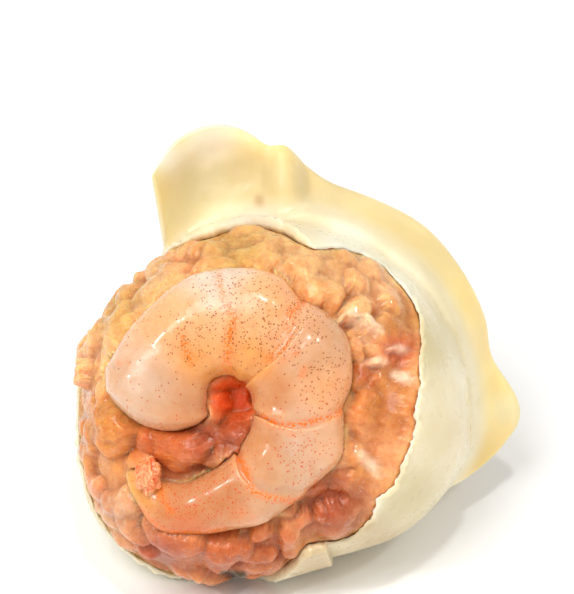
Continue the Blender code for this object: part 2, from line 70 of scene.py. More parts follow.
# The dough. Spans and edges are degrees round or out from the middle of the opening
SKIN = 1.4 * MM
RIM_ROUNDING = 1.3
RAGGED_RIM = 1.3
RIM_TEARS_REACH = 0.12
LAP_HEIGHT = 0.9 * MM
LAP_EDGE = -70.0
LAP_SPAN = ((LAP_EDGE + 0.8, LAP_EDGE - 0.8), (LAP_EDGE - 34, LAP_EDGE - 17))
LAP_FADE = (125.0, 85.0)
LAP_COLUMNS = (-0.7, -0.35, 0.35, 0.7)
LIP_HEIGHT = 0.6 * MM
LIP_SPAN = ((70, 84), (122, 114))
LIP_WIDTH = math.radians(16)
WRINKLE_HEIGHT = 0.45 * MM
WRINKLE_POLAR = 92.0
WRINKLE_WIDTH = 22.0
WRINKLE_SPAN = ((-35, -5), (135, 100))
FRILL_SPAN = ((-48, -36), (145, 133))
FRILL_POLAR = (70, 78)
FRILL_PROUD = (0.6 * MM, 3.0 * MM)
FRILL_THICKNESS = 1.4 * MM
FRILL_EDGE_ROUNDING = 0.12
FRILL_EDGE_SHARE = 0.25
FRILL_ROOT_FLARE = 1.6 * MM
FRILL_ROOT_DEPTH = 0.8 * MM
FRILL_END_STATIONS = 3
FRILL_END_BOW = 0.8 * MM
FRILL_END_SHARE = 0.35
FRILL_END_ROUNDING = 1.0

# The chicken
SEAT = 0.08 * MM
RIM_SLOPE = 1.3
LIP_SLOPE = 0.7
FACE_HEIGHT = 13.4 * MM
FACE_CURVE = 9.5
FACE_SOFTNESS = 0.8 * MM
MEAT_INSET = 0.5 * MM
PASTE_DEPTH = 0.5 * MM
CHUNK_SEED = 7
CHUNK_COUNT = 520
CHUNK_HALF_SIZE = (1.3 * MM, 2.1 * MM)
CHUNK_SINK = (0.3, 0.7)
CHUNK_WARP = 0.03
CHUNK_WARP_SIZE = 0.11
POCKET_PLACE = (-3.9 * MM, -0.2 * MM)
POCKET_DEPTH = 5.0 * MM
POCKET_RADIUS = 1.5 * MM
POCKET_FADE = (2 * MM, 6 * MM)

# The prawn
CURL_CENTRE = (-4.3 * MM, -0.2 * MM)
PRAWN_FLATNESS = 0.80
PRAWN_SQUARENESS = 0.88
PRAWN_LIFT = 0.3 * MM
GROOVE_DEPTH = 0.45 * MM
GROOVE_LEADING = 0.06
GROOVE_TRAILING = 0.86
HEAD_ROUNDING = 14.0
HEAD_BLUNTNESS = 2.6
TAIL_ROUNDING = 10.0
TAIL_BLUNTNESS = 2.2
POINT_SIZE = 0.02 * MM
TAIL_BIT_PLACE = np.array([-13.2, -12.9, -8.3]) * MM
TAIL_BIT_HALF_SIZE = np.array([1.3, 1.2, 1.9]) * MM
TAIL_BIT_CRUMPLE = 0.35
TAIL_BIT_FOLDS = ((6, 0.28, 0.16), (7, 0.12, 0.06))

# How wide the ball is, seen into its opening: degrees round from +X, and millimetres out
BALL_WIDTH = (
    (-160, 22.6), (-145, 23.6), (-130, 23.5), (-115, 22.5), (-100, 20.7), (-88, 19.4),
    (-75, 18.8), (-62, 19.3), (-48, 20.6), (-30, 21.7), (-14, 22.4), (0, 21.7), (20, 20.7),
    (45, 20.1), (65, 19.8), (85, 19.6), (105, 19.7), (125, 19.9), (140, 20.1), (155, 21.1),
    (170, 21.9), (185, 21.8),
)

# The opening's torn rim: degrees round the opening from +X, and degrees out from its middle
RIM = (
    (-165, 87), (-150, 84), (-135, 84), (-120, 88), (-108, 92), (-98, 93), (-90, 86), (-84, 72),
    (-78, 61), (-70, 61), (-60, 63), (-52, 57), (-44, 50), (-37, 51), (-27, 48), (-12, 48),
    (6, 50), (18, 56), (30, 65), (44, 69), (57, 69), (68, 63), (75, 59), (82, 65), (88, 72),
    (94, 76), (105, 78), (116, 81), (124, 88), (133, 99), (150, 101), (170, 98), (185, 92),
)

# The frill, from its left end over the top to its right end: degrees round the opening at the
# root and at the free edge, degrees out at the root, then millimetres from the ball's middle
# to the edge, how far the edge stands forward, and how far the sheet bellies forward
FRILL = (
    (130, 118.5, 97, 27.4, 6.4, -1.0),
    (121, 111.0, 99, 29.7, 4.6, -2.2),
    (110, 103.5, 98, 30.5, 2.6, -2.6),
    (100, 97.0, 96, 29.6, 0.8, -2.0),
    (92, 91.5, 93, 27.7, -0.8, -0.6),
    (86, 87.0, 90, 27.5, -0.6, 0.8),
    (80, 81.5, 86, 25.6, -2.8, -0.4),
    (73, 74.0, 83, 24.3, -3.6, 0.2),
    (61, 62.0, 82, 24.4, -4.2, 0.9),
    (47, 48.0, 82, 25.1, -4.6, 0.6),
    (33, 34.0, 84, 25.1, -5.2, 0.2),
    (20, 20.0, 89, 25.0, -5.4, 0.6),
    (9, 9.5, 94, 24.7, -5.4, 0.2),
    (-2, -3.2, 97, 27.6, -6.6, -0.6),
    (-12, -12.0, 98, 26.4, -7.6, -0.4),
    (-21, -21.5, 98, 23.6, -6.4, 0.0),
    (-29, -29.0, 98, 21.8, -4.4, 0.0),
)

# The frill's folds and creases, with places as millimetres across and up
FOLD_LINE = ((-14, 24.7), (-12.9, 24.9), (-9.1, 25.1), (-5.8, 26.0), (-3.0, 27.0), (1.0, 29.2))
FOLD_SLOPE = 0.55
FOLD_FADE = (0.5 * MM, -3 * MM)
FOLDS_OUT = (0, 0.25)
CREASE_SPAN = ((-0.25, 0.1), (1.25, 0.9))
CREASES = (
    ((2.2, 26.4), (4.9, 19.4), 1.7, 0.5), ((-9.8, 24.0), (-9.4, 15.6), 1.5, 0.35),
    ((23.0, 7.0), (25.0, -0.5), 1.6, 0.5),
)

# The prawn's middle line: degrees round its curl, millimetres from the curl's middle, and
# millimetres from the line to the back or the belly
PRAWN_LINE = (
    (-150, 13.4, 0.9), (-142, 13.4, 1.1), (-134, 13.3, 1.6), (-126, 13.2, 2.4), (-117, 12.7, 3.2),
    (-104, 11.1, 3.7), (-88, 9.7, 4.1), (-76, 9.1, 4.4), (-62, 8.4, 4.6), (-44, 7.8, 4.8),
    (-28, 7.8, 5.3), (-4, 7.1, 5.0), (10, 7.6, 5.5), (30, 8.1, 6.0), (42, 8.0, 5.9),
    (55, 7.7, 5.6), (70, 8.3, 6.0), (86, 8.4, 5.8), (110, 8.4, 5.6), (130, 8.2, 5.2),
    (150, 8.2, 5.2), (168, 8.4, 5.7), (200, 8.4, 5.7), (230, 8.4, 5.6),
)

# Its segment edges from head to tail, in degrees: how far round the curl at the back and at the
# belly, and how far the middle of the edge bows towards the tail
PRAWN_HEAD = (177, 227, 0)
SEGMENT_EDGES = ((55, 51, 6), (-3, -29, 4), (-48, -84, 9))
PRAWN_TAIL = (-146, -146, 0)

# The largest pieces of chicken: millimetres across and up the open face, half length, half
# width, turn in degrees, and how far the middle stands above the face
MAIN_CHUNKS = (
    (-18.0, -3.6, 3.2, 2.8, 30, 0.4),
    (-11.5, -5.2, 5.4, 2.2, -8, 0.6),
    (-4.6, -3.4, 2.4, 1.8, 40, -0.6),
    (-12.6, 11.6, 4.4, 3.2, 35, 0.2),
    (-17.2, 7.0, 3.4, 2.8, 60, 0.0),
    (11.6, -1.8, 3.6, 3.0, -20, 0.3),
    (12.6, 6.8, 3.0, 2.0, -30, 0.2),
    (5.6, 12.0, 2.8, 2.5, 0, 0.2),
    (-2.2, 15.8, 3.6, 2.2, 10, -0.3),
    (-6.2, -17.0, 3.0, 2.6, 0, 0.2),
    (-11.4, -15.6, 4.0, 2.6, -25, 0.0),
)

# Mesh detail of the dressed pieces
SKIN_COLUMNS = 360
OUTER_RINGS = 84
INNER_RINGS = 16
FRILL_COLUMNS = 210
FRILL_ROWS = 26
FACE_GRID = 281
FACE_POLAR = math.radians(106)
BACK_RINGS = 6
PRAWN_SIDES = 96
HEAD_RINGS = 150
SEGMENT_RINGS = 80

# Layers of fine grain: each one's seed, and how wide its bumps are and how high. The rim's are
# wide as shares of its radius and high in degrees
RIM_TEARS = ((1, 0.05, 0.55), (2, 0.02, 0.385))
TORN_LUMPS = ((20, 0.9 * MM, 0.22 * MM), (21, 0.36 * MM, 0.132 * MM))
SKIN_GRAIN = ((22, 2.2 * MM, 0.02 * MM),)
FRILL_RIPPLES = ((23, 5.0 * MM, 0.25 * MM), (24, 1.6 * MM, 0.05 * MM))
MEAT_ROUGHNESS = ((10, 1.8 * MM, 0.18 * MM), (11, 0.8 * MM, 0.075 * MM), (12, 0.4 * MM, 0.015 * MM))
PRAWN_UNEVENNESS = ((3, 3.2 * MM, 0.16 * MM), (4, 1.2 * MM, 0.04 * MM))

# Fine forms. Heights and widths are metres
TORN_REACH = 1.8 * MM
TORN_THINNING = 0.7
THINNED_REACH = 3 * MM
RIDGE_HEIGHT = 0.07 * MM
RIDGE_WIDTH = 3.2
RIDGE_SLANT = 0.12
RIDGED_OUT = (10.5, 13.0)
RIDGED_TURNS = (60, 105)
RIDGES_ELSEWHERE = 0.25
FILLET_REACH = 2.4 * MM
FILLET_ROUNDS = 26
CRUMB_SEED = 21
CRUMB_COUNT = 900
CRUMB_HALF_SIZE = (0.45 * MM, 0.95 * MM)
FIBRE_WIDTH = 0.5 * MM
FIBRE_HEIGHT = 0.04 * MM
MENISCUS_SLOPE = 1.2
MELT = 0.5 * MM
FINE_WARP = 0.012
FINE_WARP_SIZE = 0.045
RIM_OVERLAP = 0.25 * MM
# Places counted inwards from the rim
CALM_RIM_FROM = (0.2 * MM, 1.2 * MM)
UNDER_RIM = (-2 * MM, 1 * MM)
# Near the rim the pieces are pressed more even
EDGE_EVENING = 0.75
EDGE_REACH = 5.0 * MM
EDGE_ROUNDS = 40
# Where the small bits lie: millimetres across and up, and how wide
CRUMB_PATCHES = (
    (10.6, 7.0, 2.6), (13.0, 4.6, 2.2), (-20.0, 4.0, 3.0), (9.5, -7.5, 2.0),
    (14.5, -3.5, 1.5),
)
# Pale shreds: millimetres across and up, turn in degrees, half length and half width
SHREDS = (
    (9.8, 7.2, -58, 1.9, 0.55), (13.2, 5.1, 0, 1.4, 0.45), (13.0, 2.5, -46, 1.1, 0.45),
    (7.9, 8.3, 5, 1.4, 0.5), (9.6, -6.6, -50, 1.6, 0.75), (11.0, 3.6, 8, 1.2, 0.45),
)
SHRED_TONE = (246, 214, 184)
PRAWN_BED = 0.03 * MM
PRAWN_HEAP = 0.4 * MM
PRESSED_BAND = 1.0 * MM
HEAP_FALL = 2.5 * MM
HEAP_FROM_HOLE = (3.0 * MM, 4.5 * MM)

# Tones of the chicken: each colour and where it lies on the open face, as millimetres across
# and up, how wide and how strong
CHICKEN_TONES = (
    ((246, 196, 138), ((10.7, 10.6, 2.5, 1), (-19.5, 5.1, 2.5, 1))),  # cream
    ((228, 182, 124), ((1.4, 16.1, 2.5, 1), (6.3, 13.3, 3, 1), (-13.5, 12.2, 3, 1))),  # beige
    ((204, 164, 88), ((-3.6, 16.6, 3, 1), (-16.2, 9.5, 3, 1))),  # olive beige
    ((204, 150, 112), ((10.5, 7.3, 1, 2.5), (-16.2, -12.5, 2.5, 1))),  # rose beige
    ((222, 146, 78), ((9.7, -7, 1.4, 1.5), (-17.3, -7, 2, 1))),  # peach
    ((198, 124, 42), ((13.5, 8.4, 2, 1), (11.8, -0.4, 2.8, 1), (-18.4, -3.7, 3, 1))),  # light brown
    ((216, 100, 60), ((13.5, 5.4, 1.3, 2),)),  # rose
    ((214, 94, 12), ((-12.4, -4.8, 3, 1),)),  # orange brown
    ((172, 68, 4), ((10.2, 2.3, 1.2, 1), (-1.4, -16.4, 3, 1), (-6.3, -16.9, 2.5, 1))),  # rust, partly the chicken's own colour and partly painted shade low on the face
    ((150, 28, 4), ((6.3, -11.4, 3, 1), (-11.8, -16.4, 2.5, 1), (-8, -4.8, 2, 1),
                    (-4.1, -3.7, 2, 1))),  # red brown, partly the chicken's own colour and partly painted shade low on the face and round the hollow
    ((234, 80, 1), ((-3.8, 0.4, 1.7, 6),)),  # the orange hollow in the curl, brightened as a painted glow of light through the flesh
)
CHUNK_TONES = (
    (240, 175, 120), (247, 203, 152), (214, 150, 96), (236, 152, 122), (216, 166, 104),
    (243, 186, 132),
)
OWN_TONE_SHARE = 0.4
# Darkest and palest of the clouds in the material, as shares of the tint
CHICKEN_SHADES = ((0.84, 0.74, 0.66), (1.06, 1.14, 1.18))
CHICKEN_TONE = (236, 168, 112)
COVERED_TONE = (225, 150, 100)
# The colour of the painted shade in the crevices between the pieces
CREVICE_SHADE = (176, 70, 24)
PALE_STRANDS = (0.93, 0.74, 0.56, 1)
# The chicken's wet shine is warm, as from the dough and broth round it
WARM_SHINE = (1.0, 0.84, 0.62, 1.0)

# Tones of the prawn, placed the same way
PRAWN_TONE = (244, 190, 148)
PRAWN_SHADES = ((0.96, 0.90, 0.85), (1.02, 1.06, 1.12))
SHELL_TONE = (240, 140, 78)
DARK_STREAK = (224, 96, 34)
PALE_STREAK = (253, 198, 146)
PRAWN_TONES = (
    ((226, 206, 184), ((-5.8, 13.3, 2.5, 1),)),  # whitish pink, partly the flesh's own colour and partly a painted sheen on the top of the curl
    ((210, 176, 146), ((-13.5, 0.7, 3.5, 1), (4.1, -4.8, 3, 1))),  # pale pink
    ((210, 162, 120), ((4.1, 5.1, 3, 1), (-0.3, -9.2, 2.5, 1))),  # pink
    ((240, 176, 122), ((-9.1, 7.3, 3, 1), (-1.4, 9.5, 3, 1), (6.9, 0.7, 2.5, 1),
                       (6.9, -5.9, 2.5, 1))),  # warm pink
    ((228, 158, 78), ((-8, 4, 2, 1), (-2.5, 4, 2, 1), (-13.5, -9.8, 1.8, 1))),  # amber
    ((206, 142, 90), ((-10.2, -1.5, 2.5, 1), (-0.3, 0.7, 2, 1), (-0.8, -4.8, 2, 1))),  # tan
    ((200, 134, 84), ((-5.8, -10.3, 2.5, 1), (-10.2, -11.4, 2.5, 1))),  # darker tan
    ((214, 116, 58), ((-9.1, -13.6, 1.6, 1),)),  # orange
)
# Orange pigment on the prawn: blurred spots, as millimetres across and up, how wide and how
# strong, and dotted lines, as how wide, how strong and places round and out on the curl
PIGMENT_SPOTS = (
    (4.3, 10.6, 0.55, 1.0), (3.6, 10.9, 0.45, 1.0), (2.4, 5.1, 0.55, 0.8), (1.4, 4.6, 0.5, 0.6),
    (3.4, 3.2, 0.5, 0.7), (3.1, 2.5, 0.35, 0.8), (-16.3, 3.9, 0.35, 0.6), (-15.3, 3.9, 0.3, 0.5),
    (-2.9, -7.5, 0.5, 0.8), (-2.7, -8.2, 0.35, 0.8), (1.9, -3.6, 0.35, 0.6), (3.3, -11.1, 0.6, 0.8),
    (2.2, -11.0, 0.5, 0.6), (-3.4, -12.2, 0.9, 0.5), (-2.2, -12.6, 0.6, 0.4),
)
PIGMENT_LINES = (
    (0.36, 1.0, ((126, 8.7), (131, 7.4), (135, 6.1))),
    (0.42, 1.0, ((92.7, 10.2), (87.7, 9.2), (91.5, 7.0), (97.4, 3.8))),
    (0.30, 0.6, ((95, 14.2), (96, 12.2), (93, 10.2))),
    (0.38, 0.9, ((55, 13.1), (56.5, 11.4), (52, 10.0), (46.5, 8.8), (46, 7.4), (49, 5.9))),
    (0.30, 1.0, ((-4.4, 12.0), (-8.4, 10.9), (-21.3, 7.0), (-26, 5.2), (-26, 3.7))),
    (0.30, 1.0, ((-44, 12.6), (-53.5, 13.0), (-60.7, 12.2), (-69.3, 10.8), (-77, 9.7),
                 (-78, 7.5), (-84, 5.6))),
    (0.28, 1.0, ((-131, 11.8), (-127, 12.6), (-123, 13.0), (-119, 13.4))),
)
LINE_BLUR = 1.4
RED_EDGE_SPAN = ((-88, -98), (-134, -128))
RED_EDGE_OUT = (0.72, 0.90)
RED_EDGE_STRENGTH = 0.9
# How far back from the open face the pigment and the specks fade out
PIGMENT_FADE = (-6 * MM, -10 * MM)
SPECK_FADE = (-2 * MM, -9 * MM)
# Where the specks lie thickest, and how thick they lie elsewhere
SPECK_PATCHES = (
    (-2.5, 8.5, 5.0, 1.0), (2.0, 8.0, 4.0, 1.0), (-8.5, 6.5, 3.0, 0.8), (-6.0, 11.0, 3.0, 0.7),
    (5.5, 2.0, 4.0, 0.7), (3.0, -6.0, 3.5, 0.8), (-6.5, -10.8, 4.0, 1.1), (-10.5, -12.0, 3.6, 1.1),
)
SPECKS_ELSEWHERE = 0.12
# The specks' cell size, the largest dot's share of it, and how many cells have one
SPECK_SIZES = ((0.30 * MM, 0.36, 0.5), (0.44 * MM, 0.29, 0.8), (0.7 * MM, 0.21, 0.9))
PIGMENT = (238, 112, 2)
LOW_SPECK = (204, 74, 18)
HIGH_SPECK = (146, 72, 12)

# Tones of the dough, placed the same way
WALL_TONE = (238, 227, 194)
FRILL_TONE = (244, 222, 160)
INSIDE_TONE = (228, 186, 136)
TONED_FRONT = (-3 * MM, 6 * MM)
INSIDE_FROM = (-0.5 * SKIN, -0.95 * SKIN)
DOUGH_TONES = (
    ((230, 214, 176), ((3, 18.6, 2, 1), (19.6, -3.7, 3, 1), (-19.8, -11.4, 2.5, 1))),  # pale
    ((218, 204, 188), ((-2.5, 19.4, 2.5, 1),)),  # ash grey, painted shade in the hollow behind the torn lip
    ((246, 244, 224), ((8, 16.6, 2.5, 0.8), (13.6, 11.4, 1.6, 1), (10.6, -11.5, 1, 1.2))),  # milk white, partly the dough's own whiter wall and partly a painted highlight at the top of the wall by the lip
    ((205, 190, 142), ((17.3, 5.9, 2.6, 1.2), (15.2, -11.4, 3, 1))),  # straw, partly the dough's own colour and partly painted shade on the right of the wall and low down
    ((180, 148, 98), ((11.4, -15.3, 2.5, 1), (4.8, -18, 2.5, 1))),  # shaded
    ((160, 96, 4), ((-1.5, 21.3, 0.5, 1.5),)),  # the brown spot
)
DOUGH_SHADES = ((0.95, 0.93, 0.88), (1.0, 1.0, 1.0))
FRILL_TONES = (
    ((243, 240, 236), ((-6.9, 28.2, 2.6, 1), (-11.5, 26, 1.6, 1))),  # milk white, partly the frill's own colour and partly painted light along its top band
    ((228, 226, 196), ((-8, 22.7, 3, 1), (-11, 19.4, 1.6, 1.2), (26.1, -1.5, 1.5, 1))),  # pale
    ((208, 190, 148), ((-4.7, 23.8, 3, 1), (-0.8, 23.2, 2.5, 1), (5.2, 21.6, 3, 1))),  # shaded
    ((230, 210, 150), ((11.8, 18.8, 3, 1), (17.3, 13.9, 3, 1))),  # straw
    ((245, 224, 150), ((20.1, 10.6, 2.5, 1), (22.8, -0.4, 3, 1))),  # yellow
    ((229, 198, 114), ((22.3, -6.5, 2, 1),)),  # darker yellow, painted shade low on the frill's right wing
    ((170, 112, 8), ((-1.5, 21.6, 0.45, 2),)),  # the brown spot
)
DARK_SPECK_EDGE = (1.3, 0.7)
DARK_SPECKS = ((8.9, -13.0, 0.34, (70, 60, 35)), (8.6, -5.3, 0.25, (80, 50, 30)))
# Dark green bits at the foot of the open face
GREEN_BITS = (
    ((54, 52, 14), ((-5.2, -19.2, 0.30, 30), (-3.3, -19.3, 0.30, 30))),
    ((26, 30, 8), ((-4.6, -19.3, 0.35, 30), (-4.0, -19.4, 0.35, 30))),
)

# Camera and light. The camera looks straight into the open face
CAMERA_SHIFT = (1.595 * MM, 10.89 * MM)
CAMERA_DISTANCE = 450 * MM
LENS = 248
SENSOR_WIDTH = 36
FLOOR_HALF_WIDTH = 3.0
FLOOR_TONES = ((0.93, 0.93, 0.93, 1), (0.95, 0.95, 0.95, 1))
SKY_COLOUR = (1, 0.99, 0.975, 1)
SKY_STRENGTH = 0.60
LIGHT_AIM = Vector((0, 0, 0.02))
# The lamps: name, place, width and power
LAMPS = (
    ("key", (-0.30, -0.38, 0.90), 0.50, 4.6), ("small_left", (-0.55, -0.40, 0.65), 0.065, 1.3),
    ("small_top", (0.05, -0.20, 0.85), 0.065, 1.3), ("small_right", (0.45, -0.25, 0.75), 0.065, 1.0),
)


def curve_through(table, at, period=None):
    """Smooth values at the places asked for, through a table of (place, value, ...) rows."""
    rows = np.array(table, float)
    if period:
        shift = np.zeros(rows.shape[1])
        shift[0] = period
        rows = np.concatenate([rows - shift, rows, rows + shift])
    places, values = rows[:, 0], rows[:, 1:]
    slopes = np.gradient(values, places, axis=0)
    at = np.asarray(at, float)
    i = np.clip(np.searchsorted(places, at) - 1, 0, len(places) - 2)
    span = (places[i + 1] - places[i])[..., None]
    t = (at[..., None] - places[i][..., None]) / span
    from_start = values[i] * (1 + 2 * t) * (1 - t) ** 2 + slopes[i] * span * t * (1 - t) ** 2
    from_end = values[i + 1] * t**2 * (3 - 2 * t) + slopes[i + 1] * span * t**2 * (t - 1)
    return from_start + from_end


def smooth_step(low, high, x):
    t = np.clip((x - low) / (high - low), 0, 1)
    return t * t * (3 - 2 * t)


def within(span, x):
    """1 inside a span and 0 outside it; each end is where it starts to fade in and is full."""
    return smooth_step(*span[0], x) * smooth_step(*span[1], x)


def soft_least(a, b, softness):
    """The smaller of two values, with the corner between them rounded."""
    share = np.clip(0.5 + 0.5 * (a - b) / softness, 0, 1)
    return a + (b - a) * share - softness * share * (1 - share)


def bumps(points, size, seed=0.0):
    """Smooth noise between about -1 and 1, whose bumps are as wide as size."""
    flat = points.reshape(-1, 3) / size + seed
    return np.array([noise.noise(Vector(p)) for p in flat]).reshape(points.shape[:-1])


def unit(vectors):
    """Vectors of length 1 that point the same way."""
    return vectors / np.maximum(np.linalg.norm(vectors, axis=-1, keepdims=True), 1e-12)


def direction(azimuth, polar):
    """Unit vectors from the ball's middle, for angles in radians round and out from the opening."""
    across = np.sin(polar) * np.cos(azimuth)
    up = np.sin(polar) * np.sin(azimuth)
    return np.stack(np.broadcast_arrays(across, -np.cos(polar), up), axis=-1)


def angles_of(directions):
    """Azimuth and polar angle of unit vectors, the inverse of direction()."""
    azimuth = np.arctan2(directions[..., 2], directions[..., 0])
    return azimuth, np.arccos(np.clip(-directions[..., 1], -1, 1))


def ball_reach(directions, inset=0.0):
    """How far the ball goes from its middle along each direction, with its surface moved in."""
    azimuth, polar = angles_of(directions)
    width = curve_through(BALL_WIDTH, (np.degrees(azimuth) + 160) % 360 - 160, 360)[..., 0] * MM
    inward = np.cos(polar) / (BALL_DEPTH - inset)
    reach = 1 / np.hypot(np.sin(polar) / (width - inset), inward)
    return soft_least(reach, reach_to_floor(directions, inset), FLOOR_SOFTNESS)


def on_ball(directions, inset=0.0):
    """The points of that surface that lie along these directions."""
    return directions * ball_reach(directions, inset)[..., None]


def reach_to_floor(directions, inset=0.0):
    """How far each direction can go before it comes this near to the table."""
    down = np.maximum(-(directions @ UPRIGHT.T)[..., 2], 1e-6)
    return (REST_HEIGHT - inset) / down


def inside_rim(azimuth, polar):
    """Angle to the nearest part of the torn rim, positive inside the opening."""
    step = math.radians(2)
    slope = (rim_polar(azimuth + step) - rim_polar(azimuth - step)) / (2 * step)
    slope = slope / np.maximum(np.sin(polar), 0.2)
    return (rim_polar(azimuth) - polar) / np.sqrt(1 + slope**2)


def lap(azimuth, polar):
    """Height of the overlap low on the front, where the dough goes round twice."""
    rise = within(LAP_SPAN, np.degrees(azimuth))
    return LAP_HEIGHT * rise * smooth_step(*LAP_FADE, np.degrees(polar))


def along_lip(azimuth):
    """1 along the torn edge that stands up over the chicken at the top, and 0 elsewhere."""
    return within(LIP_SPAN, np.degrees(azimuth))


def lip(azimuth, polar):
    """Height of that torn edge above the ball."""
    near_rim = smooth_step(LIP_WIDTH, 0, polar - rim_polar(azimuth))
    return LIP_HEIGHT * along_lip(azimuth) * near_rim


def skin_wrinkles(directions, azimuth, polar):
    """Shallow creases that run from the frill down the shoulder of the dough."""
    near_frill = np.exp(-(((np.degrees(polar) - WRINKLE_POLAR) / WRINKLE_WIDTH) ** 2))
    shoulder = within(WRINKLE_SPAN, np.degrees(azimuth))
    stretched = directions * np.array([1.0, 0.45, 1.0])
    return WRINKLE_HEIGHT * near_frill * shoulder * bumps(stretched, 0.13, seed=3.0)


def face_reach(directions):
    """Where each direction meets the gently domed cut through the chicken."""
    out = np.maximum(-directions[..., 1], 1e-3)
    side = np.maximum(1 - out**2, 1e-9) * FACE_CURVE
    return (np.sqrt(out**2 + 4 * side * FACE_HEIGHT) - out) / (2 * side)


def open_reach(directions):
    """The chicken's open surface before its pieces: the ball, cut back to the domed face."""
    ball = ball_reach(directions, MEAT_INSET)
    face = np.where(directions[..., 1] < -0.05, face_reach(directions), 1.0)
    return soft_least(ball, face, FACE_SOFTNESS)


def on_open_surface(across, up):
    """The point of the open surface that lies this far across and up the face."""
    out = FACE_HEIGHT
    for _ in range(12):
        point = np.array([across, -out, up])
        reach = open_reach(unit(point)[None])[0]
        out = math.sqrt(max(reach**2 - across**2 - up**2, (0.5 * MM) ** 2))
    return np.array([across, -out, up])


def meat_chunks():
    """Middle and shaping matrix of each chopped piece that shows, the largest ones first."""
    found = []
    for across, up, length, width, turn, lift in MAIN_CHUNKS:
        middle = on_open_surface(across * MM, up * MM)
        outward = unit(middle)
        middle = middle + outward * (lift - 0.55 * width) * MM
        sizes = np.array([length, width, 0.8 * width]) * MM
        found.append((middle, chunk_matrix(outward, math.radians(turn), sizes)))
    draw = np.random.RandomState(CHUNK_SEED)
    golden = math.pi * (3 - math.sqrt(5))
    for i in range(CHUNK_COUNT):
        out = 1 - 2 * (i + 0.5) / CHUNK_COUNT
        azimuth = np.array([golden * i + draw.uniform(-0.2, 0.2)])
        outward = direction(azimuth, np.arccos(np.clip(out, -1, 1)))[0]
        size = draw.uniform(*CHUNK_HALF_SIZE)
        sizes = size * np.array([draw.uniform(1.0, 1.4), draw.uniform(0.8, 1.0), 0.9])
        turn = draw.uniform(0, math.pi)
        sink = draw.uniform(*CHUNK_SINK) * size
        azimuth, polar = angles_of(outward[None])
        if polar[0] > rim_polar(azimuth)[0]:
            continue
        middle = outward * (open_reach(outward[None])[0] - sink)
        found.append((middle, chunk_matrix(outward, turn, sizes)))
    return found


def chunk_matrix(outward, turn, sizes):
    """Takes offsets from a piece's middle to offsets in units of its half sizes."""
    side = unit(np.cross([0.0, 0.0, 1.0], outward))
    rise = np.cross(outward, side)
    first = math.cos(turn) * side + math.sin(turn) * rise
    second = math.cos(turn) * rise - math.sin(turn) * side
    return np.stack([first, second, outward]) / sizes[:, None]


def pocket(points):
    """Depth of the hollow in the chicken that shows through the middle of the curl."""
    away = np.hypot(points[:, 0] - POCKET_PLACE[0], points[:, 2] - POCKET_PLACE[1])
    front = smooth_step(*POCKET_FADE, -points[:, 1])
    return POCKET_DEPTH * front * np.exp(-0.5 * (away / POCKET_RADIUS) ** 2)


def rounded_end(distance, bluntness):
    """Size of a cross section this far from a rounded end, from 0 to 1."""
    return (1 - (1 - min(max(distance, 0), 1)) ** bluntness) ** 0.5


def segment_swell(number, share):
    """How far a segment's surface stands above the groove, along its length."""
    leading = 1.0 if number == 0 else smooth_step(0, GROOVE_LEADING, share)
    trailing = 1.0 if number == len(SEGMENT_EDGES) else smooth_step(1, GROOVE_TRAILING, share)
    return leading * trailing


def squared(wave):
    """Makes a round cross section slightly squarer."""
    return np.sign(wave) * np.abs(wave) ** PRAWN_SQUARENESS


def linear(colour):
    """Linear light of a colour given as display values from 0 to 255."""
    share = np.asarray(colour, float) / 255
    return np.where(share <= 0.04045, share / 12.92, ((share + 0.055) / 1.055) ** 2.4)


def opaque(colour):
    """That colour with no transparency, as a shader node takes it."""
    return (*linear(colour), 1)


def grain(points, size, seed=0):
    """Smooth noise between about -1 and 1 for many points at once, with bumps as wide as size."""
    at = points.reshape(-1, 3) / size + 31.7 * seed
    cell = np.floor(at).astype(np.int64)
    part = at - cell
    fade = part**3 * (part * (part * 6 - 15) + 10)
    total = np.zeros(len(at))
    for corner in itertools.product((0, 1), repeat=3):
        key = (cell + corner) @ np.array([73856093, 19349663, 83492791]) & 0xFFFFFFFF
        key = (key ^ (key >> 15)) * 2246822519 & 0xFFFFFFFF
        key = (key ^ (key >> 13)) * 3266489917 & 0xFFFFFFFF
        slope = np.stack([key & 1023, (key >> 10) & 1023, (key >> 20) & 1023], axis=-1) / 511.5 - 1
        share = np.prod(np.where(corner, fade, 1 - fade), axis=1)
        total += share * (slope * (part - corner)).sum(axis=1)
    return 1.6 * total.reshape(points.shape[:-1])


def grain_layers(points, layers):
    """Grain on grain: each layer is its seed, how wide its bumps are and how high."""
    return sum(height * grain(points, width, seed) for seed, width, height in layers)


def make_rim_table():
    """The torn rim at closely spaced azimuths: its smooth line, its tears and its fine tears."""
    azimuth = np.radians(np.arange(-180, 180, 0.5))
    smooth = curve_through(RIM, (np.degrees(azimuth) + 165) % 360 - 165, 360)[..., 0]
    ring = np.stack([np.cos(azimuth), np.sin(azimuth), np.zeros_like(azimuth)], axis=-1)
    ragged = RAGGED_RIM * (bumps(ring, 0.16) + 0.5 * bumps(ring, 0.06))
    return azimuth, np.radians(smooth + ragged + grain_layers(ring, RIM_TEARS))


RIM_TABLE = make_rim_table()


def rim_polar(azimuth):
    """How far out the torn rim lies at each azimuth, in radians."""
    return np.interp(azimuth, *RIM_TABLE, period=2 * math.pi)


def mesh_object(name, points, faces, finish):
    """Turns points and faces into a smooth named object."""
    data = bpy.data.meshes.new(name)
    data.from_pydata(points.tolist(), [], faces)
    data.shade_smooth()
    data.materials.append(finish)
    made = bpy.data.objects.new(name, data)
    bpy.context.scene.collection.objects.link(made)
    return made


def face_outwards(made):
    mesh = bmesh.new()
    mesh.from_mesh(made.data)
    bmesh.ops.recalc_face_normals(mesh, faces=mesh.faces)
    mesh.to_mesh(made.data)
    mesh.free()


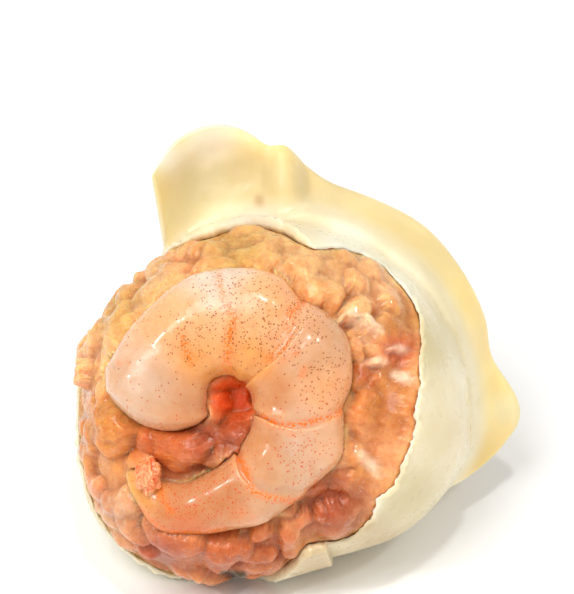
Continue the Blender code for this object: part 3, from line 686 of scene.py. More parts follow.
def points_of(made):
    points = np.empty(3 * len(made.data.vertices))
    made.data.vertices.foreach_get("co", points)
    return points.reshape(-1, 3)


def set_points(made, points):
    made.data.vertices.foreach_set("co", points.ravel())
    made.data.update()


def stand_up(made):
    """Leans a piece back as the dumpling stands. Its materials still read the places it had."""
    points = points_of(made)
    layer = made.data.attributes.new("place", "FLOAT_VECTOR", "POINT")
    layer.data.foreach_set("vector", points.ravel())
    set_points(made, points @ UPRIGHT.T + STANDING_PLACE)


def paint(made, name, values):
    """Stores a value or a colour for each point, for the material to read."""
    kind, key = ("FLOAT_COLOR", "color") if values.ndim == 2 else ("FLOAT", "value")
    if values.ndim == 2:
        values = np.column_stack([values, np.ones(len(values))])
    layer = made.data.attributes.new(name, kind, "POINT")
    layer.data.foreach_set(key, np.clip(values, 0, 1).ravel())


def blend_tones(points, base, base_share, tones):
    """Colours of points on the open face, where each tone fades out round its places."""
    total = base_share * linear(base)
    weight = np.full(len(points), base_share)
    for colour, places in tones:
        for *place, strength in places:
            share = strength * np.exp(-(spans_from(points, *place) ** 2))
            total = total + share[:, None] * linear(colour)
            weight = weight + share
    return total / weight[:, None]


def spans_from(points, across, up, radius):
    """How far points of the open face lie from a place, with its radius as the unit."""
    return np.hypot(points[:, 0] - across * MM, points[:, 2] - up * MM) / (radius * MM)


def strongest(points, patches, elsewhere, power):
    """The strength of the strongest patch at each point; patches fade out round their places."""
    share = np.full(len(points), elsewhere)
    for *place, strength in patches:
        share = np.maximum(share, strength * np.exp(-(spans_from(points, *place) ** power)))
    return share


def towards(tint, colour, share):
    """Each point's tint, moved towards a colour by the point's share."""
    return tint + (linear(colour) - tint) * share[:, None]


def grid_faces(rows, columns, ring=False):
    """Four-sided faces between the rows of a grid of points, closed round if it is a ring."""
    faces = []
    for i in range(rows - 1):
        for j in range(columns if ring else columns - 1):
            k = (j + 1) % columns
            faces.append((i * columns + j, i * columns + k, (i + 1) * columns + k, (i + 1) * columns + j))
    return faces


def tube_faces(rows, sides):
    """Faces of a tube of rings that closes on the two points which follow the rings."""
    faces = grid_faces(rows, sides, ring=True)
    last = (rows - 1) * sides
    for j in range(sides):
        k = (j + 1) % sides
        faces += [(j, k, rows * sides), (last + j, last + k, rows * sides + 1)]
    return faces


# The prawn


def prawn_stations():
    """Where the rings go: degrees round the curl at the back and at the belly, how far the
    middle bows, how far the surface stands above the groove, and the ring's share of its size."""
    edges = [PRAWN_HEAD, *SEGMENT_EDGES, PRAWN_TAIL]
    stations = []
    for number, (start, end) in enumerate(zip(edges, edges[1:])):
        count = HEAD_RINGS if number == 0 else SEGMENT_RINGS
        for share in 0.5 - 0.5 * np.cos(np.pi * np.linspace(0, 1, count, endpoint=False)):
            back, belly, bow = (a + (b - a) * share for a, b in zip(start, end))
            size = rounded_end((PRAWN_HEAD[0] - back) / HEAD_ROUNDING, HEAD_BLUNTNESS)
            size *= rounded_end((back - PRAWN_TAIL[0]) / TAIL_ROUNDING, TAIL_BLUNTNESS)
            stations.append((back, belly, bow, segment_swell(number, share), size))
    return [*stations, (*PRAWN_TAIL, 0.0, 0.0)]


def prawn_ring(back, belly, bow, swell, size):
    """One ring of points round the prawn."""
    around = np.linspace(0, 2 * math.pi, PRAWN_SIDES, endpoint=False)
    backward = squared(np.cos(around))
    middle = 0.5 * (back + belly)
    turn = middle + (0.5 * (back - belly) * backward - bow * (1 - backward**2)) * size
    radius, half = curve_through(PRAWN_LINE, turn).T * MM
    groove = GROOVE_DEPTH * (1 - swell) * (0.35 + 0.65 * np.abs(np.sin(0.5 * around)))
    half = np.maximum((half - groove) * size, POINT_SIZE)
    radius = radius + half * backward
    across = CURL_CENTRE[0] + radius * np.cos(np.radians(turn))
    up = CURL_CENTRE[1] + radius * np.sin(np.radians(turn))
    centre = curve_through(PRAWN_LINE, middle)[0] * MM
    off_x = CURL_CENTRE[0] + centre * math.cos(math.radians(middle))
    off_z = CURL_CENTRE[1] + centre * math.sin(math.radians(middle))
    lie = FACE_HEIGHT + PRAWN_LIFT - FACE_CURVE * (off_x**2 + off_z**2)
    out = lie + half * PRAWN_FLATNESS * squared(np.sin(around))
    return np.stack([across, -out, up], axis=-1)


def place_on_curl(points):
    """Degrees round the prawn's curl, and millimetres out from its middle."""
    off_x = points[..., 0] - CURL_CENTRE[0]
    off_z = points[..., 2] - CURL_CENTRE[1]
    return np.degrees(np.arctan2(off_z, off_x)), np.hypot(off_x, off_z) / MM


def near_line(points, line):
    """Millimetres from each point to a line of (degrees round the curl, millimetres out) places."""
    turns, far = np.array(line, float).T
    corners = np.stack([far * np.cos(np.radians(turns)), far * np.sin(np.radians(turns))], axis=-1)
    at = (points[:, [0, 2]] - np.array(CURL_CENTRE)) / MM
    least = np.full(len(points), np.inf)
    for start, end in zip(corners, corners[1:]):
        way = end - start
        share = np.clip((at - start) @ way / (way @ way), 0, 1)
        least = np.minimum(least, np.linalg.norm(at - start - share[:, None] * way, axis=1))
    return least


def make_prawn(finish):
    """The curled prawn at full detail, with its fine muscle ridges."""
    stations = prawn_stations()
    rings = np.array([prawn_ring(*station) for station in stations])
    around = np.roll(rings, -1, axis=1) - np.roll(rings, 1, axis=1)
    normal = unit(np.cross(np.gradient(rings, axis=0), around))
    from_middle = rings - rings.mean(axis=1, keepdims=True)
    normal *= np.sign((normal * from_middle).sum(axis=(1, 2), keepdims=True))
    size = np.array([station[4] for station in stations])[:, None]
    turn, far = place_on_curl(rings)
    uneven = grain_layers(rings, PRAWN_UNEVENNESS)
    ridge_at = np.stack([turn, RIDGE_SLANT * rings[..., 1] / MM, np.zeros_like(turn)], axis=-1)
    on_back = smooth_step(*RIDGED_OUT, far) * smooth_step(*RIDGED_TURNS, turn) + RIDGES_ELSEWHERE
    ridges = RIDGE_HEIGHT * on_back * grain(ridge_at, RIDGE_WIDTH, 5)
    rings = rings + normal * ((uneven + ridges) * size)[..., None]
    tips = [rings[:1].mean(axis=1), rings[-1:].mean(axis=1)]
    points = np.concatenate([rings.reshape(-1, 3), *tips])
    made = mesh_object("prawn_flesh", points, tube_faces(*rings.shape[:2]), finish)
    face_outwards(made)
    paint_prawn(made, points)
    return made


def paint_prawn(made, points):
    """The prawn's tones, and how much of its orange pigment and its specks each point has."""
    turn, far = place_on_curl(points)
    line_radius, line_half = curve_through(PRAWN_LINE, np.clip(turn, -149, 179)).T
    facing = smooth_step(*PIGMENT_FADE, points[:, 1])
    lines = np.zeros(len(points))
    for width, strength, line in PIGMENT_LINES:
        away = near_line(points, line) / (LINE_BLUR * width)
        lines = np.maximum(lines, strength * np.exp(-(away**2)))
    outer = smooth_step(*RED_EDGE_OUT, (far - line_radius) / line_half)
    red_edge = RED_EDGE_STRENGTH * outer * within(RED_EDGE_SPAN, turn)
    pigment = np.maximum(strongest(points, PIGMENT_SPOTS, 0.0, 2), red_edge)
    specks = strongest(points, SPECK_PATCHES, SPECKS_ELSEWHERE, 4)
    paint(made, "tint", blend_tones(points, PRAWN_TONE, 0.05, PRAWN_TONES))
    paint(made, "pigment", pigment * facing)
    paint(made, "lines", lines * facing)
    paint(made, "specks", specks * smooth_step(*SPECK_FADE, points[:, 1]))


def make_tail_bit(finish):
    """The crumpled end of the shell that is left on the prawn's tail."""
    mesh = bmesh.new()
    bmesh.ops.create_icosphere(mesh, subdivisions=5, radius=1)
    mesh.verts.index_update()
    directions = np.array([vertex.co for vertex in mesh.verts])
    faces = [[vertex.index for vertex in face.verts] for face in mesh.faces]
    mesh.free()
    crumple = 1 + TAIL_BIT_CRUMPLE * bumps(directions, 0.6, seed=5.0)
    folds = grain_layers(directions, TAIL_BIT_FOLDS)
    points = directions * (TAIL_BIT_HALF_SIZE * (crumple + folds)[:, None]) + TAIL_BIT_PLACE
    made = mesh_object("tail_shell", points, faces, finish)
    # Painted light and shade: the tint is lighter where the folds stand out and darker where they sink in
    paint(made, "tint", blend_tones(points, SHELL_TONE, 1.0, ()) * (1 + 1.2 * folds[:, None]))
    return made


# The chicken


def calm_rim(azimuth):
    """The rim's place at each azimuth with its tears smoothed out."""
    return np.mean([rim_polar(azimuth + math.radians(turn)) for turn in range(-8, 9)], axis=0)


def disc_grid(count):
    """Radius from 0 to 1 and angle for a square grid of points pressed into a disc."""
    side = np.linspace(-1, 1, count)
    a, b = np.meshgrid(side, side, indexing="ij")
    wide = np.abs(a) > np.abs(b)
    long = np.where(wide, a, b)
    short = np.where(wide, b, a)
    slant = short / np.where(long == 0, 1, long) * math.pi / 4
    angle = np.where(wide, slant, math.pi / 2 - slant) + np.where(long < 0, math.pi, 0)
    return np.abs(long), angle


def crumbs(chunks):
    """Smaller bits of chicken that lie on and between the chopped pieces."""
    draw = np.random.RandomState(CRUMB_SEED)
    azimuth = draw.uniform(-math.pi, math.pi, CRUMB_COUNT)
    outward = direction(azimuth, np.arccos(draw.uniform(math.cos(FACE_POLAR), 1, CRUMB_COUNT)))
    reach, _ = chunk_surface(outward, chunks, open_reach(outward) - PASTE_DEPTH)
    found = []
    for way, far in zip(outward, reach):
        size = draw.uniform(*CRUMB_HALF_SIZE)
        sizes = size * np.array([draw.uniform(1.0, 1.9), draw.uniform(0.7, 1.0), 0.8])
        turn = draw.uniform(0, math.pi)
        middle = way * (far - draw.uniform(0.25, 0.6) * size)
        place = middle[[0, 2]] / MM
        near = [np.hypot(*(place - spot[:2])) < spot[2] for spot in CRUMB_PATCHES]
        if any(near):
            found.append((middle, chunk_matrix(way, turn, sizes)))
    return found


def shreds(chunks):
    """Pale shreds of chicken that lie on the chopped pieces."""
    found = []
    for across, up, turn, length, width in SHREDS:
        way = unit(on_open_surface(across * MM, up * MM))
        reach, _ = chunk_surface(way[None], chunks, open_reach(way[None]) - PASTE_DEPTH)
        sizes = np.array([length, width, 0.8 * width]) * MM
        middle = way * (reach[0] - 0.1 * width * MM)
        found.append((middle, chunk_matrix(way, math.radians(turn), sizes)))
    return found


def chunk_surface(directions, chunks, reach):
    """How far each direction goes to leave the outermost piece, and which piece that is."""
    reach = reach.copy()
    which = np.full(len(directions), -1)
    for i, (middle, shape) in enumerate(chunks):
        far = np.linalg.norm(middle)
        largest = 1 / np.linalg.norm(shape, axis=1).min()
        near = np.nonzero(directions @ (middle / far) > math.cos(min(largest / far, 1.2) + 0.01))[0]
        ray = directions[near] @ shape.T
        start = shape @ middle
        a = (ray**2).sum(axis=-1)
        b = ray @ start
        inside = b**2 - a * (start @ start - 1)
        leave = np.where(inside > 0, (b + np.sqrt(np.maximum(inside, 0))) / a, 0)
        which[near[leave > reach[near]]] = i
        share = np.clip(0.5 + 0.5 * (leave - reach[near]) / MELT, 0, 1)
        melted = reach[near] + (leave - reach[near]) * share + MELT * share * (1 - share)
        reach[near] = np.where(leave > 0, melted, reach[near])
    return reach, which


def chunk_fibres(points, chunks, which):
    """Fine parallel ridges along each piece, stronger on some pieces than on others."""
    draw = np.random.RandomState(CHUNK_SEED + 1)
    strength = 0.1 * draw.uniform(0, 1, len(chunks)) ** 3
    strength[:2] = 1.0
    ridges = np.zeros(len(points))
    wander = grain(points, 1.4 * MM, 8) * 0.5
    for i, (middle, shape) in enumerate(chunks):
        here = np.nonzero(which == i)[0]
        if len(here):
            across = (points[here] - middle) @ unit(shape[1]) / FIBRE_WIDTH
            ridges[here] = strength[i] * np.sin(2 * math.pi * (across + wander[here]))
    return ridges


def thinned(azimuth, distance):
    """The share of the skin's thickness that is torn away this far from the rim."""
    return TORN_THINNING * (1 - along_lip(azimuth)) * smooth_step(THINNED_REACH, 0, distance)


def meat_reach(directions, chunks):
    """The chicken's surface: how far out it lies, and which piece shows."""
    warp = [bumps(directions, CHUNK_WARP_SIZE, seed) for seed in (11.0, 23.0, 37.0)]
    fine_warp = [grain(directions, FINE_WARP_SIZE, seed) for seed in (41, 43, 47)]
    warped = directions + CHUNK_WARP * np.stack(warp, axis=-1)
    warped = unit(warped + FINE_WARP * np.stack(fine_warp, axis=-1))
    shown, which = chunk_surface(warped, chunks, open_reach(directions) - PASTE_DEPTH)
    azimuth, polar = angles_of(directions)
    inner = ball_reach(directions, SKIN + SEAT)
    inside = inside_rim(azimuth, polar) * inner
    calm = (calm_rim(azimuth) - polar) * inner
    inside = inside + (calm - inside) * smooth_step(*CALM_RIM_FROM, inside)
    grid = shown.reshape(FACE_GRID, FACE_GRID)
    evened = ((grid - blurred(grid, EDGE_ROUNDS)) * EDGE_EVENING).ravel()
    shown = shown - evened * smooth_step(EDGE_REACH, 0.3 * EDGE_REACH, inside)
    inner = inner + SKIN * thinned(azimuth, -inside) + lip(azimuth, polar)
    least = inner - 0.1 * MM - MENISCUS_SLOPE * np.maximum(inside, 0)
    shown = -soft_least(-shown, -least, 0.8 * MM)
    points = directions * shown[:, None]
    shown = shown + grain_layers(points, MEAT_ROUGHNESS)
    shown = shown + FIBRE_HEIGHT * chunk_fibres(points, chunks, which)
    shown = shown - pocket(directions * shown[:, None])
    joined = inner + (shown - inner) * smooth_step(*UNDER_RIM, inside)
    slope = RIM_SLOPE + (LIP_SLOPE - RIM_SLOPE) * along_lip(azimuth)
    most = inner + slope * np.maximum(inside + RIM_OVERLAP, 0)
    return np.minimum(joined, most), which


def blurred(grid, rounds):
    """A grid of values with each one spread over its neighbours, rounds times."""
    for _ in range(rounds):
        for axis in (0, 1):
            ahead = np.roll(grid, 1, axis)
            behind = np.roll(grid, -1, axis)
            grid = (ahead + 2 * grid + behind) / 4
    return grid


def rest_prawn_in(grid, directions, prawn):
    """Presses the chicken down under the prawn, and brings it up against the prawn's side."""
    tree = BVHTree.FromPolygons(points_of(prawn).tolist(), [tuple(f.vertices) for f in prawn.data.polygons])
    start, inward = Vector((0, 0, 0)), Vector((0, 1, 0))
    reach = grid.ravel().copy()
    covered = np.zeros(len(reach))
    for i, way in enumerate(directions):
        if way[1] > -0.2:
            continue
        x, _, z = way * reach[i]
        front = tree.ray_cast(Vector((x, -2 * FACE_HEIGHT, z)), inward)[0]
        if front is None:
            continue
        covered[i] = 1
        level = FACE_HEIGHT + PRAWN_LIFT - FACE_CURVE * (x**2 + z**2)
        under = tree.ray_cast(start, Vector(way))[3]
        if under and -front[1] > level + PRESSED_BAND:
            reach[i] = min(reach[i], under - PRAWN_BED)
        else:
            reach[i] = min(reach[i], level / -way[1])
    covered = covered.reshape(grid.shape)
    reach = reach.reshape(grid.shape)
    near = np.minimum(2 * blurred(covered, 10), 1)
    points = directions.reshape(*grid.shape, 3) * grid[..., None]
    from_hole = np.hypot(points[..., 0] - CURL_CENTRE[0], points[..., 2] - CURL_CENTRE[1])
    near = near * smooth_step(*HEAP_FROM_HOLE, from_hole)
    heap = open_reach(directions).reshape(grid.shape) + PRAWN_HEAP - HEAP_FALL * (1 - near)
    heaped = -soft_least(-grid, -heap, 0.4 * MM)
    return np.where(covered > 0, reach, heaped)


def make_meat(finish, prawn):
    """The ball of chopped chicken, finely modelled in the opening and plain under the dough."""
    radius, azimuth = (values.ravel() for values in disc_grid(FACE_GRID))
    directions = direction(azimuth, radius * FACE_POLAR)
    chunks = meat_chunks()
    chunks = chunks + crumbs(chunks)
    first_shred = len(chunks)
    chunks = chunks + shreds(chunks)
    reach, which = meat_reach(directions, chunks)
    grid = rest_prawn_in(reach.reshape(FACE_GRID, FACE_GRID), directions, prawn)
    front = directions * grid.reshape(-1, 1)

    index = np.arange(FACE_GRID**2).reshape(FACE_GRID, FACE_GRID)
    border = np.concatenate([index[0, :-1], index[:-1, -1], index[-1, :0:-1], index[:0:-1, 0]])
    polar = np.linspace(FACE_POLAR, math.pi, BACK_RINGS + 1, endpoint=False)[1:, None]
    back = on_ball(direction(azimuth[border], polar), SKIN + SEAT).reshape(-1, 3)
    points = np.concatenate([front, back, on_ball(BACK_POLE, SKIN + SEAT)])
    sides = len(border)
    behind = grid_faces(BACK_RINGS + 1, sides, ring=True)
    last = BACK_RINGS * sides
    behind += [(last + j, last + (j + 1) % sides, last + sides) for j in range(sides)]
    number = [*border.tolist(), *range(FACE_GRID**2, len(points))]
    faces = grid_faces(FACE_GRID, FACE_GRID) + [tuple(number[i] for i in face) for face in behind]
    made = mesh_object("chopped_chicken", points, faces, finish)
    face_outwards(made)
    tint = meat_tint(front, grid, which, len(chunks), first_shred)
    covered = np.tile(linear(COVERED_TONE), (len(points) - len(front), 1))
    paint(made, "tint", np.concatenate([tint, covered]))
    return made


def meat_tint(points, grid, which, count, first_shred):
    """The chicken's tones: each piece a little different, painted shade in the crevices, painted light on
    the raised lumps, and shreds paler.
    """
    draw = np.random.RandomState(CHUNK_SEED + 2)
    tones = linear(CHUNK_TONES)
    own = (draw.dirichlet(np.full(len(tones), 0.5), count + 1) @ tones)[which]
    tint = blend_tones(points, CHICKEN_TONE, 0.3, CHICKEN_TONES + GREEN_BITS)
    tint = tint * (own / own.mean(axis=0)) ** OWN_TONE_SHARE
    relief = (grid - blurred(grid, 60)).ravel()
    fine = (grid - blurred(grid, 8)).ravel()
    # Painted shade: the tint moves towards the crevice colour where the surface lies below its neighbours,
    # and raised lumps get a little painted light
    deep = 0.45 * np.clip(-relief / (0.9 * MM), 0, 1) + 0.2 * np.clip(-fine / (0.12 * MM), 0, 1)
    tint = towards(tint, CREVICE_SHADE, deep)
    tint = tint * (1 + 0.1 * np.clip(relief / (0.8 * MM), 0, 1)[:, None])
    shred = blurred((which >= first_shred).astype(float).reshape(grid.shape), 2).ravel()
    return towards(tint, SHRED_TONE, 0.8 * shred)


# The dough


def torn(points, distance):
    """Small lumps of the torn edge, fading out away from the rim."""
    fade = smooth_step(TORN_REACH, 0.2 * TORN_REACH, distance)
    return grain_layers(points, TORN_LUMPS) * fade


def make_cup(finish):
    """The cup of dough: an outer and an inner sheet, joined round the torn rim."""
    even = np.linspace(-180, 180, SKIN_COLUMNS, endpoint=False)
    azimuth = np.radians(np.unique(np.concatenate([even, LAP_EDGE + np.array(LAP_COLUMNS)])))
    rim = rim_polar(azimuth)
    calm = calm_rim(azimuth)
    start = calm + math.radians(RIM_ROUNDING)

    def ring(share, inside):
        polar = start + (math.pi - start) * share
        polar = polar + (rim - calm) * max(1 - share / RIM_TEARS_REACH, 0)
        directions = direction(azimuth, polar)
        distance = (polar - rim) * 20 * MM
        skin = SKIN * (1 - thinned(azimuth, distance)) if inside else 0
        reach = ball_reach(directions) - skin + lip(azimuth, polar)
        reach = reach + (0.6 if inside else 1.0) * torn(directions * reach[:, None], distance)
        if not inside:
            reach = reach + lap(azimuth, polar) + skin_wrinkles(directions, azimuth, polar)
            reach = reach + grain_layers(directions * reach[:, None], SKIN_GRAIN)
            reach = np.minimum(reach, reach_to_floor(directions))
        return directions * reach[:, None]

    edge = direction(azimuth, rim)
    edge_reach = ball_reach(edge) - 0.5 * SKIN * (1 - thinned(azimuth, 0.0))
    edge_reach = edge_reach + 0.5 * lap(azimuth, rim) + lip(azimuth, rim)
    edge_reach = edge_reach + torn(edge * edge_reach[:, None], np.zeros_like(rim))
    shares = np.linspace(0, 1, OUTER_RINGS, endpoint=False) ** 1.5
    inner_shares = np.linspace(0, 1, INNER_RINGS, endpoint=False) ** 2.0
    rows = [ring(share, inside=True) for share in inner_shares[::-1]]
    rows += [edge * edge_reach[:, None]]
    rows += [ring(share, inside=False) for share in shares]
    points = np.concatenate([*rows, on_ball(BACK_POLE, SKIN), on_ball(BACK_POLE)])
    made = mesh_object("dough", points, tube_faces(len(rows), len(azimuth)), finish)
    face_outwards(made)
    return made


def frill_sheet(columns, share):
    """Mid surface of the frill as a grid of points, for each row's share of the way out."""
    table = np.column_stack([np.arange(len(FRILL)), FRILL])
    at = np.linspace(0, len(FRILL) - 1, columns)
    root_turn, edge_turn, root_polar, edge_reach, edge_out, belly = curve_through(table, at).T
    root = on_ball(direction(np.radians(root_turn), np.radians(root_polar)), FRILL_ROOT_DEPTH)
    turn = np.radians(edge_turn)
    edge = np.stack([edge_reach * np.cos(turn), -edge_out, edge_reach * np.sin(turn)], axis=-1) * MM
    across = share[None, :, None]
    sheet = root[:, None] * (1 - across) + edge[:, None] * across
    sheet[..., 1] -= np.sin(math.pi * share**1.3)[None, :] * belly[:, None] * MM
    bow = FRILL_END_BOW * np.clip(1 - at / FRILL_END_STATIONS, 0, 1) ** 2
    sheet[..., 0] += bow[:, None] * np.sin(math.pi * share)
    return sheet


def frill_folds(sheet, share):
    """How far back the frill's folds and creases lie, seen from the front."""
    back = np.zeros(sheet.shape[:2])
    fold_up = curve_through(FOLD_LINE, np.clip(sheet[..., 0] / MM, -14, 1))[..., 0] * MM
    above = sheet[..., 2] - fold_up
    left = smooth_step(*FOLD_FADE, sheet[..., 0])
    back += FOLD_SLOPE * left * 0.5 * (above + np.sqrt(above**2 + (0.5 * MM) ** 2))
    for (x0, z0), (x1, z1), width, depth in CREASES:
        line = np.array([x1 - x0, z1 - z0])
        length = np.linalg.norm(line)
        off = np.stack([sheet[..., 0] / MM - x0, sheet[..., 2] / MM - z0], axis=-1)
        along = (off @ line) / length**2
        away = (off[..., 0] * line[1] - off[..., 1] * line[0]) / length
        back += depth * MM * within(CREASE_SPAN, along) * np.exp(-((away / width) ** 2))
    return (back + grain_layers(sheet, FRILL_RIPPLES)) * smooth_step(*FOLDS_OUT, share)[None, :]


def make_frill(finish):
    """The pinched frill: a wavy sheet, thick at its root and thin at its free edge."""
    share = 1 - (1 - np.linspace(0, 1, FRILL_ROWS)) ** 1.4
    sheet = frill_sheet(FRILL_COLUMNS, share)
    sheet[..., 1] += frill_folds(sheet, share)
    normal = unit(np.cross(np.gradient(sheet, axis=0), np.gradient(sheet, axis=1)))
    rounded = np.sqrt(np.clip((1 - share) / FRILL_EDGE_ROUNDING, 0, 1))
    half = 0.5 * FRILL_THICKNESS * np.maximum(rounded, FRILL_EDGE_SHARE)
    last = len(FRILL) - 1
    place = np.linspace(0, last, FRILL_COLUMNS)
    to_end = np.minimum(place, last - place)[:, None]
    from_end = np.clip(to_end / FRILL_END_STATIONS, 0, 1)
    end_size = np.sqrt(np.clip(to_end / FRILL_END_ROUNDING, 0, 1))
    half = half * np.maximum(end_size, FRILL_END_SHARE)
    lean = np.clip(0.5 + (normal[:, :1] * unit(sheet[:, :1])).sum(axis=-1), 0, 1)
    flare = FRILL_ROOT_FLARE * from_end * (1 - share) ** 3
    front = sheet + normal * (half + flare * lean)[..., None]
    back = sheet - normal * (half + flare * (1 - lean))[..., None]
    loops = np.concatenate([front, back[:, ::-1]], axis=1)
    rows, sides = loops.shape[:2]
    faces = grid_faces(rows, sides, ring=True)
    faces.append(tuple(range(sides)))
    faces.append(tuple(range((rows - 1) * sides, rows * sides)))
    made = mesh_object("frill", loops.reshape(-1, 3), faces, finish)
    face_outwards(made)
    return made


def join(target, other):
    """Joins other to target as one closed surface, then deletes other."""
    modifier = target.modifiers.new("union", "BOOLEAN")
    modifier.operation = "UNION"
    modifier.object = other
    modifier.solver = "EXACT"
    graph = bpy.context.evaluated_depsgraph_get()
    result = bpy.data.meshes.new_from_object(target.evaluated_get(graph))
    target.modifiers.clear()
    target.data = result
    bpy.data.objects.remove(other)


def round_the_root(made):
    """Softens the crease between the cup and the frill's root."""
    share = np.zeros(1)
    root = frill_sheet(120, share)[:, 0]
    root = root * (1 + FRILL_ROOT_DEPTH / np.linalg.norm(root, axis=1, keepdims=True))
    tree = KDTree(len(root))
    for i, point in enumerate(root):
        tree.insert(point, i)
    tree.balance()
    points = points_of(made)
    away = np.array([tree.find(point)[2] for point in points])
    weight = smooth_step(FILLET_REACH, 0.45 * FILLET_REACH, away)[:, None]
    ends = np.empty(2 * len(made.data.edges), int)
    made.data.edges.foreach_get("vertices", ends)
    a, b = ends.reshape(-1, 2).T
    count = np.bincount(np.concatenate([a, b]), minlength=len(points))[:, None]
    for _ in range(FILLET_ROUNDS):
        total = np.zeros_like(points)
        np.add.at(total, a, points[b])
        np.add.at(total, b, points[a])
        points = points + 0.6 * weight * (total / np.maximum(count, 1) - points)
    set_points(made, points)


def make_dough(finish):
    """Cup and frill as one piece, with its tones."""
    made = make_cup(finish)
    join(made, make_frill(finish))
    round_the_root(made)
    made.data.shade_smooth()
    points = points_of(made)
    azimuth, polar = angles_of(unit(points))
    proud = np.linalg.norm(points, axis=1) - ball_reach(unit(points))
    on_frill = within(FRILL_SPAN, np.degrees(azimuth)) * smooth_step(*FRILL_PROUD, proud)
    on_frill = on_frill * smooth_step(*FRILL_POLAR, np.degrees(polar))
    wall = blend_tones(points, WALL_TONE, 0.6, DOUGH_TONES)
    wall = towards(wall, WALL_TONE, smooth_step(*TONED_FRONT, points[:, 1]))
    frill = blend_tones(points, FRILL_TONE, 0.6, FRILL_TONES)
    tint = wall + (frill - wall) * on_frill[:, None]
    tint = towards(tint, INSIDE_TONE, smooth_step(*INSIDE_FROM, proud))
    for *place, colour in DARK_SPECKS:
        share = smooth_step(*DARK_SPECK_EDGE, spans_from(points, *place)) * (points[:, 1] < 0)
        tint = towards(tint, colour, share)
    paint(made, "tint", tint)
    paint(made, "frill", on_frill)
    return made


# Materials


def set_inputs(tree, node, inputs):
    """Sets a node's inputs; each one is a value or another node's output."""
    for key, value in inputs.items():
        if isinstance(value, bpy.types.NodeSocket):
            tree.links.new(value, node.inputs[key])
        else:
            node.inputs[key].default_value = value


def add_node(tree, kind, inputs, output=0, **settings):
    """Adds a shader node and gives the output asked for."""
    made = tree.nodes.new(kind)
    for name, value in settings.items():
        setattr(made, name, value)
    set_inputs(tree, made, inputs)
    return made.outputs[output]


def painted(tree, name, output=2):
    """What paint() stored for each point: 0 gives a colour, 1 a place and 2 a value."""
    return add_node(tree, "ShaderNodeAttribute", {}, output=output, attribute_name=name)


def maths(tree, operation, first, second):
    return add_node(tree, "ShaderNodeMath", {0: first, 1: second}, operation=operation)


def between(tree, value, low, high, to_low=0.0, to_high=1.0):
    """The value mapped smoothly from one range to another."""
    ends = {"Value": value, "From Min": low, "From Max": high, "To Min": to_low, "To Max": to_high}
    return add_node(tree, "ShaderNodeMapRange", ends, interpolation_type="SMOOTHSTEP")


def mixed(tree, factor, first, second, blend="MIX"):
    ends = {0: factor, 6: first, 7: second}
    return add_node(tree, "ShaderNodeMix", ends, output=2, data_type="RGBA", blend_type=blend)


def mottled(tree, tint, clouds, darker, lighter):
    """A tint with a darker and a lighter shade laid over it in clouds."""
    return mixed(tree, 1.0, tint, mixed(tree, clouds, (*darker, 1), (*lighter, 1)), "MULTIPLY")


def noise_node(tree, place, size, detail=3.0, roughness=0.5, distortion=0.0):
    """Noise whose largest bumps are as wide as size, in metres."""
    ends = {"Vector": place, "Scale": 1 / size, "Detail": detail, "Roughness": roughness,
            "Distortion": distortion}
    return add_node(tree, "ShaderNodeTexNoise", ends)


def cells_node(tree, place, size, output=0):
    """Cells that are as wide as size: 0 gives the distance to the middle and 1 a colour."""
    ends = {"Vector": place, "Scale": 1 / size, "Randomness": 1.0}
    return add_node(tree, "ShaderNodeTexVoronoi", ends, output=output)


def new_material(name):
    """An empty Principled material: its tree, each point's place and its tint."""
    made = bpy.data.materials.new(name)
    made.use_nodes = True
    tree = made.node_tree
    return made, tree, painted(tree, "place", 1), painted(tree, "tint", 0)


def bump_chain(tree, *layers):
    """Bumps on top of each other: each layer is a height and how deep it goes, in metres."""
    ends = {}
    for height, depth in layers:
        ends = {**ends, "Height": height, "Distance": depth, "Strength": 1.0}
        ends["Normal"] = add_node(tree, "ShaderNodeBump", ends)
    return ends["Normal"]


def set_shader(made, **values):
    """Sets the inputs of a material's shader, with _ for the spaces in their names."""
    shader = made.node_tree.nodes["Principled BSDF"]
    inputs = {name.replace("_", " "): value for name, value in values.items()}
    set_inputs(made.node_tree, shader, inputs)


def dough_material():
    made, tree, place, tint = new_material("boiled_dough")
    clouds = between(tree, noise_node(tree, place, 4.0 * MM, 3, 0.55), 0.35, 0.7)
    wet = between(tree, noise_node(tree, place, 1.5 * MM, 3), 0.35, 0.7, 0.26, 0.42)
    dry = between(tree, painted(tree, "frill"), 0.0, 1.0, 0.0, 0.12)
    soft = noise_node(tree, place, 3.0 * MM, 2, 0.4)
    fine = noise_node(tree, place, 0.5 * MM, 3, 0.5)
    set_shader(
        made, Base_Color=mottled(tree, tint, clouds, *DOUGH_SHADES),
        Roughness=maths(tree, "ADD", wet, dry),
        Normal=bump_chain(tree, (soft, 0.06 * MM), (fine, 0.003 * MM)),
        Subsurface_Weight=1.0, Subsurface_Scale=1.0 * MM, Subsurface_Radius=(1.0, 0.95, 0.8),
        Coat_Weight=0.2, Coat_Roughness=0.25, IOR=1.36,
    )
    return made


